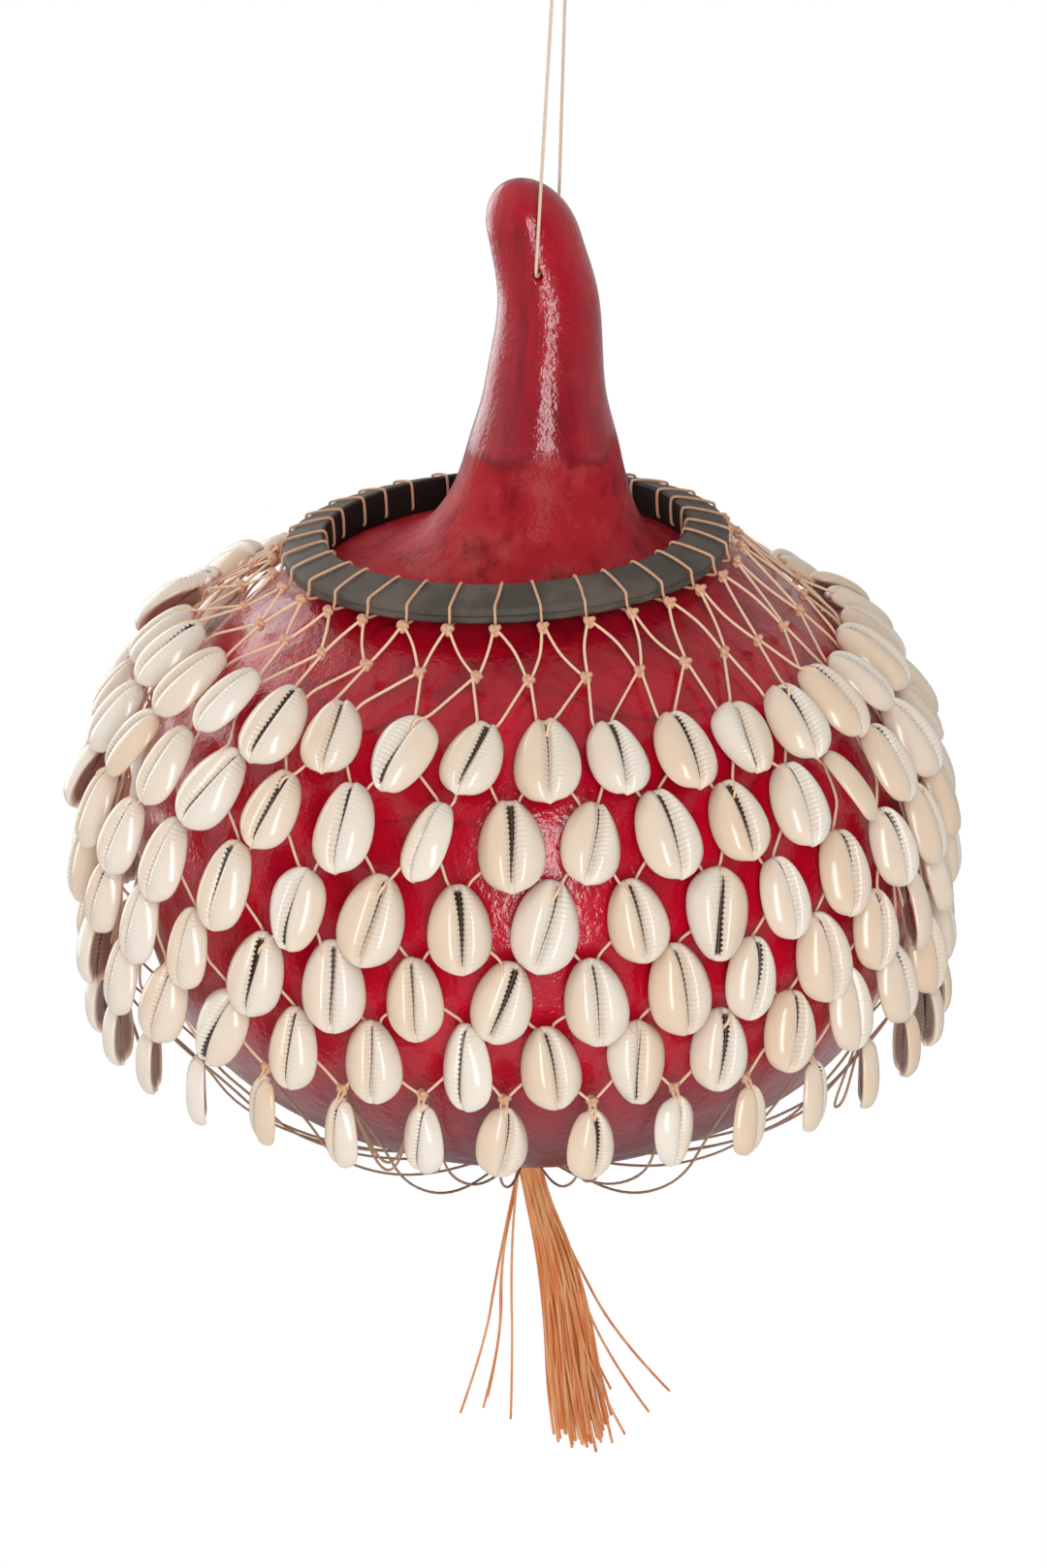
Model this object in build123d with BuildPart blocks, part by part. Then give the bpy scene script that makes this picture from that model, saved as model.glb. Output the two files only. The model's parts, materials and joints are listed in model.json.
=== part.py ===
"""Shekere: a dyed gourd rattle hung on a cord, with a collar ring and a net of cowrie shells."""

from build123d import *
from math import cos, exp, pi, radians, sin
import os

os.makedirs("parts", exist_ok=True)

# Where the gourd hangs: the inner top of the hanging loop is the origin of the finished pieces
EQUATOR_DROP = 246.0
LOOP_X = 8.4

# Gourd body: two half super-ellipses that meet at the equator
GOURD_RADIUS = 98.0
GOURD_DEPTH_BELOW = 74.0
GOURD_RISE_ABOVE = 82.0
BULGE_BELOW = 2.35
BULGE_ABOVE = 2.2
GOURD_WALL = 4.5
SHOULDER_HEIGHT = 77.0

# Gourd neck: level circles that shrink in two stages, leaning right and bending back at the tip
NECK_WALL = 4.0
NECK_TOP_HEIGHT = 158.0
NECK_TIP_HEIGHT = 171.5
NECK_CORE = 10.2
NECK_SWELL = 18.3
SWELL_LENGTH = 36.0
FLARE_LENGTH = 4.5
NECK_LEAN = 4.0
LEAN_LENGTH = 12.0
TIP_BEND = 5.4
BEND_START = 120.0
BEND_LENGTH = 50.0

# Hanging hole through the neck and the cord tied through it
HOLE_HEIGHT = 150.5
HOLE_RADIUS = 1.25
HOLE_FRONT_X = 1.7
HOLE_BACK_X = 7.1
STRING_RADIUS = 0.5
STRING_STANDOFF = 14.4
PEG_RADIUS = 6.8
STRING_KNOT_DROP = 12.0
STRING_KNOT_RADIUS = 2.0

# Collar ring: a rubber band with a sloping top, lying on the shoulder
RING_INNER_RADIUS = 44.8
RING_WIDTH = 10.3
RING_INNER_HEIGHT = 7.0
RING_OUTER_HEIGHT = 4.0
RING_ROUND = 0.7
RING_SHIFT = -5.4
RING_TILT = 2.5
RING_SEAT = 1.7

# Net: cord thickness, columns and the heights of its levels over the equator
COLUMNS = 32
CORD_RADIUS = 0.5
CORD_GAP = 0.3
NET_LIFT = 1.9
NET_SLACK = 7.0
RING_PHASE = -2.45
MID_PHASE = 0.4
ODD_PHASE = -8.55
EVEN_PHASE = -2.9
MID_KNOT_HEIGHT = 64.0
KNOT_RADIUS = 1.4
HEM_KNOT_HEIGHT = -25.7
HEM_STANDOFF = 1.9
HEM_SWAY = 3.0
CLOSER_INSET = 2.4
CLOSER_STANDOFF = 7.0
CLOSER_DROOP = 6.0

# Cowrie shell with its back cut away
SHELL_LENGTH = 21.0
SHELL_WIDTH = 15.0
SHELL_HEIGHT = 7.2
SHELL_TIE = 7.5
SHELL_BASE = 2.75
TIE_SPACING = 0.85
KNOT_SPACING = 0.5
DOME_INSET = 2.7
DOME_DEPTH = 4.2
HOLLOW_WIDTH = 8.0
SLIT_LENGTH = 14.8
SLIT_WIDTH = 1.5
SMALL_SHELL = 0.92
MEDIUM_SHELL = 0.97
LARGE_SHELL = 1.02
SHELL_TILT = 13.0
TIE_DEPTH = 1.15
HEM_SCALE = 0.82

# Closing cords and tassel below the gourd
GATHER_DROP = 85.0
GATHER_RADIUS = 4.4
TASSEL_STRANDS = 60
TASSEL_LENGTH = 78.0
TASSEL_SPREAD = 9.0
TASSEL_LEAN = 11.0
STRAND_RADIUS = 0.42

PITCH = 360.0 / COLUMNS


def level(height):
    """Height over the equator, turned into the part's own height."""
    return height - EQUATOR_DROP


def gourd_radius(height, inset=0.0):
    """Radius of the gourd's body at a height over the equator."""
    rise = GOURD_RISE_ABOVE if height >= 0 else GOURD_DEPTH_BELOW
    bulge = BULGE_ABOVE if height >= 0 else BULGE_BELOW
    share = min(1.0, abs(height) / (rise - inset))
    return (GOURD_RADIUS - inset) * (1.0 - share**bulge) ** (1.0 / bulge)


def gourd_foot(radius):
    """Height of the gourd's underside at a radius."""
    return -GOURD_DEPTH_BELOW * (1.0 - (radius / GOURD_RADIUS) ** BULGE_BELOW) ** (1.0 / BULGE_BELOW)


def gourd_lean(height):
    """Angle in degrees by which the gourd's outward direction looks up at a height."""
    if height <= 0:
        return 0.0
    step = 0.25
    slope = (gourd_radius(height - step) - gourd_radius(height + step)) / (2 * step)
    return Vector(1, slope).get_angle(Vector(1, 0))


def outward(azimuth, lean=0.0):
    """Outward direction at an azimuth counted from the front towards the right."""
    a = radians(azimuth)
    b = radians(lean)
    return Vector(sin(a) * cos(b), -cos(a) * cos(b), sin(b))


def slack(azimuth, share=1.0):
    """How far the loose net stands off the gourd: most on its left side."""
    return share * (1.5 + NET_SLACK * ((1.0 - sin(radians(azimuth))) / 2.0) ** 2)


def wobble(column, row, spread):
    """Small, repeatable irregularity of hand work."""
    return spread * sin(2.4 * column * (row + 1.3) + 1.7 * row)


def net_point(height, azimuth, lift):
    """Point at a distance from the gourd, measured square to its surface."""
    lean = gourd_lean(height)
    foot = outward(azimuth) * gourd_radius(max(height, 0.0))
    return foot + outward(azimuth, lean) * lift + Vector(0, 0, level(height))


def tangent(azimuth):
    return Vector(cos(radians(azimuth)), sin(radians(azimuth)), 0)


def cord(start, end, trim_start, trim_end, radius=CORD_RADIUS):
    """Straight three-sided stretch of cord between two knots."""
    along = (end - start).normalized()
    first = start + along * trim_start
    last = end - along * trim_end
    with BuildPart() as stretch:
        with BuildSketch(Plane(origin=first, z_dir=along)):
            RegularPolygon(radius, 3)
        extrude(amount=(last - first).length)
    return stretch.part


def ribbon_cord(azimuth, stations, thickness):
    """Square cord bent in one upright plane; stations are radius and height pairs."""
    half = thickness / 2
    count = len(stations)
    sides = []
    for k in range(count):
        before = Vector(*stations[max(k - 1, 0)])
        after = Vector(*stations[min(k + 1, count - 1)])
        along = (after - before).normalized()
        square = Vector(-along.Y, along.X)
        sides.append((Vector(*stations[k]), square))
    upper = [((p + n * half).X, (p + n * half).Y) for p, n in sides]
    lower = [((p - n * half).X, (p - n * half).Y) for p, n in reversed(sides)]
    upright = Plane(origin=(0, 0, 0), x_dir=outward(azimuth), z_dir=outward(azimuth).cross(Vector(0, 0, 1)))
    with BuildPart() as bent:
        with BuildSketch(upright):
            with BuildLine():
                Polyline(*upper, *lower, close=True)
            make_face()
        extrude(amount=half, both=True)
    return bent.part


# Gourd: revolved body and lofted neck, hollowed by the same forms inset by the wall
def body_profile(inset):
    heights = []
    steps = 9
    for k in range(1, steps):
        heights.append(-(GOURD_DEPTH_BELOW - inset) * cos(pi / 2 * k / steps) ** (2 / BULGE_BELOW))
    heights.append(0.0)
    top = SHOULDER_HEIGHT
    if inset:
        top = SHOULDER_HEIGHT - inset
    for k in range(1, steps):
        heights.append(top * sin(pi / 2 * k / steps))
    heights.append(top)
    points = [(0.0, level(-(GOURD_DEPTH_BELOW - inset)))]
    points += [(gourd_radius(h, inset), level(h)) for h in heights]
    return points


def neck_radius(height, inset):
    """Outer radius of the neck less its wall, from the shoulder to the top."""
    rise = height - SHOULDER_HEIGHT
    flare = gourd_radius(SHOULDER_HEIGHT) - NECK_CORE - NECK_SWELL
    swell = NECK_SWELL * exp(-rise / SWELL_LENGTH) + flare * exp(-rise / FLARE_LENGTH)
    return NECK_CORE + swell - inset


def neck_offset(height):
    """How far the neck's middle stands to the right of the gourd's axis."""
    lean = NECK_LEAN * (1.0 - exp(-(height - SHOULDER_HEIGHT) / LEAN_LENGTH))
    bend = max(0.0, (height - BEND_START) / BEND_LENGTH) ** 2.5
    return lean - TIP_BEND * bend


def neck_sections(inset):
    """Level circles of the neck: height, radius and offset."""
    top = NECK_TOP_HEIGHT - inset
    span = top - SHOULDER_HEIGHT
    shares = [0.0, 0.03, 0.07, 0.13, 0.22, 0.34, 0.48, 0.62, 0.75, 0.88, 1.0]
    heights = [SHOULDER_HEIGHT + span * share for share in shares]
    return [(h, neck_radius(h, inset), neck_offset(h)) for h in heights]


def tip_sections(inset):
    """Rounded end of the neck, as circles of a dome."""
    top = NECK_TOP_HEIGHT - inset
    dome = NECK_TIP_HEIGHT - NECK_TOP_HEIGHT
    circles = []
    for turn in (0, 20, 40, 58, 74, 85):
        height = top + dome * sin(radians(turn))
        circles.append((height, neck_radius(top, inset) * cos(radians(turn)), neck_offset(height)))
    return circles


with BuildPart() as gourd_shell:
    for inset, mode in ((0.0, Mode.ADD), (GOURD_WALL, Mode.SUBTRACT)):
        outline = body_profile(inset)
        with BuildSketch(Plane.XZ):
            with BuildLine():
                Spline(*outline, tangents=((1, 0), (gourd_radius(72.0) - gourd_radius(71.0), 1.0)))
                Polyline(outline[-1], (0, outline[-1][1]), outline[0])
            make_face()
        revolve(axis=Axis.Z, mode=mode)
        wall = NECK_WALL if inset else 0.0
        for circles in (neck_sections(wall), tip_sections(wall)):
            for height, radius, offset in circles:
                with BuildSketch(Plane(origin=(offset, 0, level(height)))):
                    Circle(radius)
            loft(mode=mode)
    hole_mid = Vector((HOLE_FRONT_X + HOLE_BACK_X) / 2, 0, level(HOLE_HEIGHT))
    hole_way = Vector(HOLE_BACK_X - HOLE_FRONT_X, 2 * STRING_STANDOFF, 0).normalized()
    with BuildSketch(Plane(origin=hole_mid, z_dir=hole_way)):
        Circle(HOLE_RADIUS)
    extrude(amount=2 * STRING_STANDOFF, both=True, mode=Mode.SUBTRACT)
gourd_shell.part.label = "gourd_shell"

# Hanging cord: through the hole, up both sides of the neck and over a peg, tied in one knot
string_front = Vector(HOLE_FRONT_X, -STRING_STANDOFF, level(HOLE_HEIGHT))
string_back = Vector(HOLE_BACK_X, STRING_STANDOFF, level(HOLE_HEIGHT))
loop_front = Vector(LOOP_X - 1.2, -PEG_RADIUS - STRING_RADIUS, STRING_RADIUS)
loop_back = Vector(LOOP_X + 1.2, PEG_RADIUS + STRING_RADIUS, STRING_RADIUS)
back_way = (loop_back - string_back).normalized()
knot_place = loop_back - back_way * (PEG_RADIUS + STRING_KNOT_DROP)
knot_reach = STRING_KNOT_RADIUS + CORD_GAP
string_points = [knot_place + back_way * knot_reach, loop_back, loop_front]
string_points += [string_front, string_back, knot_place - back_way * knot_reach]
string_radii = [PEG_RADIUS, PEG_RADIUS, 1.6, 1.6]
with BuildPart() as hanging_cord:
    with BuildLine() as string_path:
        FilletPolyline(*string_points, radius=string_radii)
    string_wire = string_path.wire()
    with BuildSketch(Plane(origin=string_wire @ 0, z_dir=string_wire % 0)):
        Circle(STRING_RADIUS)
    sweep(path=string_wire)
hanging_cord.part.label = "hanging_cord"
print("hanging cord length", round(string_wire.length, 1), "radii", string_radii)
print("hanging cord volume", round(hanging_cord.part.volume, 1), round(pi * STRING_RADIUS**2 * string_wire.length, 1))

with BuildPart() as hanging_knot:
    knot_plane = Plane(origin=knot_place, x_dir=(1, 0, 0), z_dir=back_way)
    with BuildSketch(knot_plane):
        RegularPolygon(STRING_KNOT_RADIUS, 6)
    extrude(amount=STRING_KNOT_RADIUS, taper=28)
    mirror(about=knot_plane)
hanging_knot.part.label = "hanging_knot"

# Collar ring: one tapered section turned round its own slightly tilted axis
ring_floor = SHOULDER_HEIGHT - 1.6 + RING_SEAT
ring_axis = Vector(-sin(radians(RING_TILT)), 0, cos(radians(RING_TILT)))
ring_frame = Plane(
    origin=(RING_SHIFT, 0, level(ring_floor)),
    x_dir=(cos(radians(RING_TILT)), 0, sin(radians(RING_TILT))),
    z_dir=ring_axis,
)
ring_outer = RING_INNER_RADIUS + RING_WIDTH
ring_corners = [
    (RING_INNER_RADIUS, 0),
    (ring_outer, 0),
    (ring_outer, RING_OUTER_HEIGHT),
    (RING_INNER_RADIUS, RING_INNER_HEIGHT),
]
ring_section = Plane(origin=ring_frame.origin, x_dir=ring_frame.x_dir, z_dir=-ring_frame.y_dir)
with BuildPart() as collar_ring:
    with BuildSketch(ring_section) as band:
        with BuildLine():
            Polyline(*ring_corners, close=True)
        make_face()
        fillet(band.vertices(), radius=RING_ROUND)
    revolve(axis=Axis(ring_frame.origin, ring_axis))
collar_ring.part.label = "collar_ring"


def ring_azimuth(column):
    return RING_PHASE + PITCH * column


def ring_knot_point(column):
    """Centre of the knot under the ring's outer edge, in the part's own frame."""
    way = outward(ring_azimuth(column))
    reach = ring_outer + 2 * CORD_GAP + 2 * CORD_RADIUS + KNOT_RADIUS
    local = Vector(way.X * reach, way.Y * reach, -0.4)
    return ring_frame.from_local_coords(local)


# Lashing: one turn of cord round the ring's section, repeated for each column
near = CORD_GAP
far = CORD_GAP + 2 * CORD_RADIUS
slope = (RING_INNER_HEIGHT - RING_OUTER_HEIGHT) / RING_WIDTH
with BuildPart() as lashing:
    with BuildSketch(Plane.XZ):
        for reach, mode in ((far, Mode.ADD), (near, Mode.SUBTRACT)):
            with BuildLine():
                Polyline(
                    (RING_INNER_RADIUS - reach, -reach),
                    (ring_outer + reach, -reach),
                    (ring_outer + reach, RING_OUTER_HEIGHT + reach * (1 - slope)),
                    (RING_INNER_RADIUS - reach, RING_INNER_HEIGHT + reach * (1 + slope)),
                    close=True,
                )
            make_face(mode=mode)
    extrude(amount=CORD_RADIUS, both=True)

with BuildPart() as ring_lashings:
    with Locations(ring_frame):
        with PolarLocations(0, COLUMNS, start_angle=RING_PHASE - 90):
            add(lashing.part)
ring_lashings.part.label = "ring_lashings"


# Knots: faceted beads, one size for every level of the net
with BuildPart() as knot:
    with BuildSketch():
        RegularPolygon(KNOT_RADIUS, 6)
    extrude(amount=0.75 * KNOT_RADIUS, taper=22)
    mirror(about=Plane.XY)


def knot_row(points):
    with BuildPart() as row:
        with Locations(*points):
            add(knot.part)
    return row.part


ring_knots = knot_row([ring_knot_point(i) for i in range(COLUMNS)])
ring_knots.label = "ring_knots"

# Levels of the net: middle knots, five tied rows of shells and the hem
row_heights = [49.5, 34.2, 17.2, 0.5, -16.9]


def phase(row):
    return ODD_PHASE if row % 2 == 0 else EVEN_PHASE


def row_share(row):
    """The net is loosest at the equator and drawn in above and below it."""
    return (0.85, 0.95, 1.0, 0.95, 0.85)[row]


def row_azimuth(row, column):
    return phase(row) + PITCH * column + wobble(column, row, 0.45)


def row_height(row, column):
    return row_heights[row] + wobble(column + 5, row, 0.6)


def shell_frame(row, column):
    """Plane of a tied shell: its back lies over the net, its narrow end looks up and in."""
    height = row_height(row, column)
    azimuth = row_azimuth(row, column)
    facing = outward(azimuth, gourd_lean(height) + SHELL_TILT)
    base = net_point(height, azimuth, SHELL_BASE + slack(azimuth, row_share(row)))
    return Plane(origin=base, x_dir=tangent(azimuth), z_dir=facing)


def tie_point(row, column, side):
    """Where the cords of a mesh are tied, side by side under the upper part of the shell."""
    frame = shell_frame(row, column)
    return frame.from_local_coords(Vector(side * TIE_SPACING, SHELL_TIE, -TIE_DEPTH))


def mid_azimuth(column):
    return MID_PHASE + PITCH * column + wobble(column, 7, 0.5)


def mid_point(column):
    azimuth = mid_azimuth(column)
    return net_point(MID_KNOT_HEIGHT + wobble(column, 9, 1.0), azimuth, NET_LIFT + slack(azimuth, 0.5))


def hem_azimuth(column):
    return EVEN_PHASE + PITCH * column + wobble(column, 6, 0.3)


def hem_point(column):
    azimuth = hem_azimuth(column)
    reach = GOURD_RADIUS + HEM_STANDOFF + slack(azimuth, 0.75)
    return outward(azimuth) * reach + Vector(0, 0, level(HEM_KNOT_HEIGHT + wobble(column, 8, 0.6)))


mid_knots = knot_row([mid_point(i) for i in range(COLUMNS)])
mid_knots.label = "mid_knots"
hem_knots = knot_row([hem_point(i) for i in range(COLUMNS)])
hem_knots.label = "hem_knots"


# Cords between two levels: every knot sends one cord to each side
def mesh(upper, lower, skew, trim_upper, trim_lower):
    stretches = []
    for column in range(COLUMNS):
        for step, side in ((0, -1), (1, 1)):
            start = upper(column + skew + step, -side)
            end = lower(column, side)
            stretches.append(cord(start, end, trim_upper, trim_lower))
    with BuildPart() as level_cords:
        add(stretches)
    return level_cords.part


def at_ring(column, side):
    return ring_knot_point(column) + tangent(ring_azimuth(column)) * side * KNOT_SPACING


def at_mid(column, side):
    return mid_point(column) + tangent(mid_azimuth(column)) * side * KNOT_SPACING


def at_hem(column, side):
    return hem_point(column) + tangent(hem_azimuth(column)) * side * KNOT_SPACING


def at_row(row):
    return lambda column, side: tie_point(row, column, side)


knot_trim = 1.06 * KNOT_RADIUS
tie_trim = 0.66
upper_mesh_cords = mesh(at_ring, at_mid, 0, knot_trim, knot_trim)
upper_mesh_cords.label = "upper_mesh_cords"
shoulder_cords = mesh(at_mid, at_row(0), -1, knot_trim, tie_trim)
shoulder_cords.label = "shoulder_cords"
mesh_cords_1 = mesh(at_row(0), at_row(1), 0, tie_trim, tie_trim)
mesh_cords_1.label = "mesh_cords_1"
mesh_cords_2 = mesh(at_row(1), at_row(2), -1, tie_trim, tie_trim)
mesh_cords_2.label = "mesh_cords_2"
mesh_cords_3 = mesh(at_row(2), at_row(3), 0, tie_trim, tie_trim)
mesh_cords_3.label = "mesh_cords_3"
mesh_cords_4 = mesh(at_row(3), at_row(4), -1, tie_trim, tie_trim)
mesh_cords_4.label = "mesh_cords_4"
hem_cords = mesh(at_row(4), at_hem, 0, tie_trim, knot_trim)
hem_cords.label = "hem_cords"


# Cowrie: domed front with a long slit, back cut away, narrow end up
def cowrie(size):
    half = size * SHELL_WIDTH / 2
    top = size * SHELL_LENGTH / 2
    height = size * SHELL_HEIGHT
    slit = size * SLIT_WIDTH / 2
    hollow = size * HOLLOW_WIDTH / 2
    narrow_end = 0.3 * half
    broad_end = 0.42 * half
    narrow_flank = top - 0.95 * (half - narrow_end)
    broad_flank = top - 0.75 * (half - broad_end)
    with BuildPart() as shell:
        with BuildSketch():
            with BuildLine():
                Polyline(
                    (narrow_end, top),
                    (-narrow_end, top),
                    (-half, narrow_flank),
                    (-half, -broad_flank),
                    (-broad_end, -top),
                    (broad_end, -top),
                    (half, -broad_flank),
                    (half, narrow_flank),
                    close=True,
                )
            make_face()
        extrude(amount=height)
        front = shell.faces().sort_by(Axis.Z)[-1]
        chamfer(front.edges(), length=size * DOME_INSET, length2=size * DOME_DEPTH, reference=front)
        with BuildSketch(Plane.XZ):
            with BuildLine():
                Polyline((-hollow, 0), (hollow, 0), (slit, height), (-slit, height), close=True)
            make_face()
        extrude(amount=size * SLIT_LENGTH / 2, both=True, mode=Mode.SUBTRACT)
    return shell.part


shell_sizes = [cowrie(size) for size in (SMALL_SHELL, MEDIUM_SHELL, LARGE_SHELL)]


def shell_row(row):
    """One tied row of shells in three sizes, of which the lowest row has the two smaller ones."""
    places = [[], [], []]
    choices = 2 if row == 4 else 3
    for column in range(COLUMNS):
        frame = shell_frame(row, column)
        turned = frame.rotated((0, 0, wobble(column, row + 3, 4.0)))
        places[(column * 5 + row * 2) % 7 % choices].append(turned)
    with BuildPart() as shells:
        for shape, spots in zip(shell_sizes, places):
            if spots:
                with Locations(*spots):
                    add(shape)
    return shells.part


rows = [shell_row(row) for row in range(5)]
for row, shells in enumerate(rows):
    shells.label = "shell_row_" + str(row + 1)

# Hem shells hang by the narrow end from their own knots and have turned on their cords
hem_shape = cowrie(HEM_SCALE)
hem_reach = KNOT_RADIUS + CORD_GAP + HEM_SCALE * SHELL_LENGTH / 2
hem_shells = []
for column in range(COLUMNS):
    facing = hem_azimuth(column) + wobble(column, 4, 40.0)
    hung = hem_point(column) + outward(hem_azimuth(column)) * HEM_SWAY - Vector(0, 0, hem_reach)
    seat = hung - outward(facing) * HEM_SCALE * SHELL_HEIGHT / 2
    with BuildPart() as hem_shell:
        with Locations(Plane(origin=seat, x_dir=tangent(facing), z_dir=outward(facing))):
            add(hem_shape)
    hem_shell.part.label = "hem_shell_" + str(column + 1).zfill(2)
    hem_shells.append(hem_shell.part)

# Closing cords run slack from the hem knots under the gourd to the gathering knot
gather = Vector(0, 0, level(-GATHER_DROP))
closers = []
for column in range(COLUMNS):
    top = hem_point(column)
    reach = Vector(top.X, top.Y, 0).length
    droop = CLOSER_STANDOFF + CLOSER_DROOP * max(0.0, wobble(column, 2, 1.0)) ** 2
    stations = [
        (reach - KNOT_RADIUS - 1.5 * CORD_GAP, top.Z),
        (reach - CLOSER_INSET, top.Z - 4.0),
        (reach - 4 * CLOSER_INSET, top.Z - 20.0),
        (0.78 * GOURD_RADIUS, level(gourd_foot(0.78 * GOURD_RADIUS) - droop)),
        (0.48 * GOURD_RADIUS, level(gourd_foot(0.48 * GOURD_RADIUS) - droop)),
        (GATHER_RADIUS + 0.5, level(-GATHER_DROP + 0.5)),
    ]
    closers.append(ribbon_cord(hem_azimuth(column), stations, 1.6 * CORD_RADIUS))
with BuildPart() as closing_cords:
    add(closers)
closing_cords.part.label = "closing_cords"

with BuildPart() as gathering_knot:
    with Locations(gather):
        Sphere(GATHER_RADIUS)
gathering_knot.part.label = "gathering_knot"

# Tassel: the cut ends of the closing cords, fanned out by a sunflower pattern
strands = []
golden = 180.0 * (3.0 - 5.0**0.5)
strand_top = gather + Vector(0, 0, -GATHER_RADIUS - CORD_GAP)
for k in range(TASSEL_STRANDS):
    share = ((k + 0.5) / TASSEL_STRANDS) ** 0.5
    way = outward(golden * k)
    first = strand_top + way * share * (GATHER_RADIUS - 0.2)
    drop = TASSEL_LENGTH * (1.0 + wobble(k, 1, 0.04))
    last = strand_top + way * share * TASSEL_SPREAD + Vector(TASSEL_LEAN, 0, -drop)
    strands.append(cord(first, last, 0.0, 0.0, STRAND_RADIUS))
with BuildPart() as tassel_strands:
    add(strands)
tassel_strands.part.label = "tassel_strands"

strays = []
stray_reaches = [(-82, 24.0), (-104, 14.0), (-66, 8.0), (-122, 20.0), (84, 30.0), (100, 37.0), (70, 24.0), (128, 28.0)]
for k, (azimuth, reach) in enumerate(stray_reaches):
    drop = TASSEL_LENGTH * (0.94 + wobble(k, 2, 0.04))
    stations = [
        (GATHER_RADIUS + 0.4, strand_top.Z),
        (GATHER_RADIUS + 0.3 * (reach - GATHER_RADIUS) + 2.0, strand_top.Z - 0.42 * drop),
        (reach, strand_top.Z - drop),
    ]
    strays.append(ribbon_cord(azimuth, stations, 1.6 * STRAND_RADIUS))
with BuildPart() as stray_strands:
    add(strays)
stray_strands.part.label = "stray_strands"

# Finished pieces, moved from the gourd's axis so that they hang from the origin
finished = [gourd_shell.part, hanging_cord.part, hanging_knot.part, collar_ring.part, ring_lashings.part]
finished += [ring_knots, upper_mesh_cords, mid_knots, shoulder_cords]
finished += [mesh_cords_1, mesh_cords_2, mesh_cords_3, mesh_cords_4, hem_cords, hem_knots]
finished += rows
finished += hem_shells
finished += [closing_cords.part, gathering_knot.part, tassel_strands.part, stray_strands.part]
for piece in finished:
    hung_piece = piece.moved(Location((-LOOP_X, 0, 0)))
    hung_piece.label = piece.label
    export_step(hung_piece, "parts/" + piece.label + ".step")
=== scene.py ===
"""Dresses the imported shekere: gourd, collar, knotted net, cowrie shells, tassel and hanging cord."""

import json
import math

import bpy
from mathutils import Matrix, Vector

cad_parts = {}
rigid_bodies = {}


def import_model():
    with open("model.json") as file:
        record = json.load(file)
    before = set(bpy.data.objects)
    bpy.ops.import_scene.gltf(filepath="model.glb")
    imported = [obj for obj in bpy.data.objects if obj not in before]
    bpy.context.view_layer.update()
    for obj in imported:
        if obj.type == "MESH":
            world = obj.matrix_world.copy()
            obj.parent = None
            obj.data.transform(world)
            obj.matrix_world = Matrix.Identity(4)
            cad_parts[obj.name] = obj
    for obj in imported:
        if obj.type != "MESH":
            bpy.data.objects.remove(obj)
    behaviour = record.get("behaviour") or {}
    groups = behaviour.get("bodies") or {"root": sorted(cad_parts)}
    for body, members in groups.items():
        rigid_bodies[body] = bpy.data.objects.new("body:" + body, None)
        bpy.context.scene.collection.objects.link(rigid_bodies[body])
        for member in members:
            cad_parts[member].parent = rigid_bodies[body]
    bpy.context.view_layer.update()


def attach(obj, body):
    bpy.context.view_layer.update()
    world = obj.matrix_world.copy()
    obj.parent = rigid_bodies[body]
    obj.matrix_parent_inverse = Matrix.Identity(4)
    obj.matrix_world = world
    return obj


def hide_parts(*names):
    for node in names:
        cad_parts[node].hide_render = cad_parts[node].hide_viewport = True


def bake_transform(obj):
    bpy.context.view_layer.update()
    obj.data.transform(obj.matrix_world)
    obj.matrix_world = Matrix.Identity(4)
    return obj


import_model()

bl_info = {
    "name": "Shekere",
    "version": (1, 0, 0),
    "blender": (4, 5, 0),
    "location": "View3D > Sidebar > Shekere",
    "description": "Models a hanging gourd rattle with a net of cowrie shells",
    "category": "Object",
}

MM = 0.001

# The gourd's axis and equator in the row frame; sizes below are millimetres from there
LOOP_X = 8.4
EQUATOR_DROP = 246.0

# Gourd
GOURD_RADIUS = 98.0
GOURD_DEPTH_BELOW = 74.0
GOURD_RISE_ABOVE = 82.0
BULGE_BELOW = 2.35
BULGE_ABOVE = 2.2
SHOULDER_HEIGHT = 77.0
NECK_TOP_HEIGHT = 158.0
NECK_TIP_HEIGHT = 171.5
NECK_CORE = 10.2
NECK_SWELL = 18.3
SWELL_LENGTH = 36.0
FLARE_LENGTH = 4.5
NECK_LEAN = 4.0
LEAN_LENGTH = 12.0
TIP_BEND = 5.4
BEND_START = 120.0
BEND_LENGTH = 50.0
GOURD_SIDES = 96
LUMP_SIZE = 45.0

# The grown neck's bow to the right and its slimmer waist
NECK_BOW = 1.8
BOW_HEIGHT = 142.0
BOW_LENGTH = 13.0
WAIST_START = 104.0
WAIST_LENGTH = 16.0
WAIST_SLIM = 0.065

# The shoulder's rise under the collar
RISE_RADIUS = 46.0
RISE_WIDTH = 7.0
RISE_FROM_HEIGHT = 50.0
RISE_FROM_RADIUS = 34.0

# Hanging cord
HOLE_HEIGHT = 150.5
HOLE_RADIUS = 1.25
HOLE_FRONT_X = 1.7
HOLE_BACK_X = 7.1
STRING_STANDOFF = 14.4
STRING_RADIUS = 0.5
LINE_RADIUS = 0.4
PEG_RADIUS = 6.8
LOOP_ASIDE = 1.2
STRING_KNOT_DROP = 12.0
STRING_KNOT_RADIUS = 2.0
STRING_KNOT_SIZE = 1.25
STRING_KNOT_TWINE = 0.55

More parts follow.
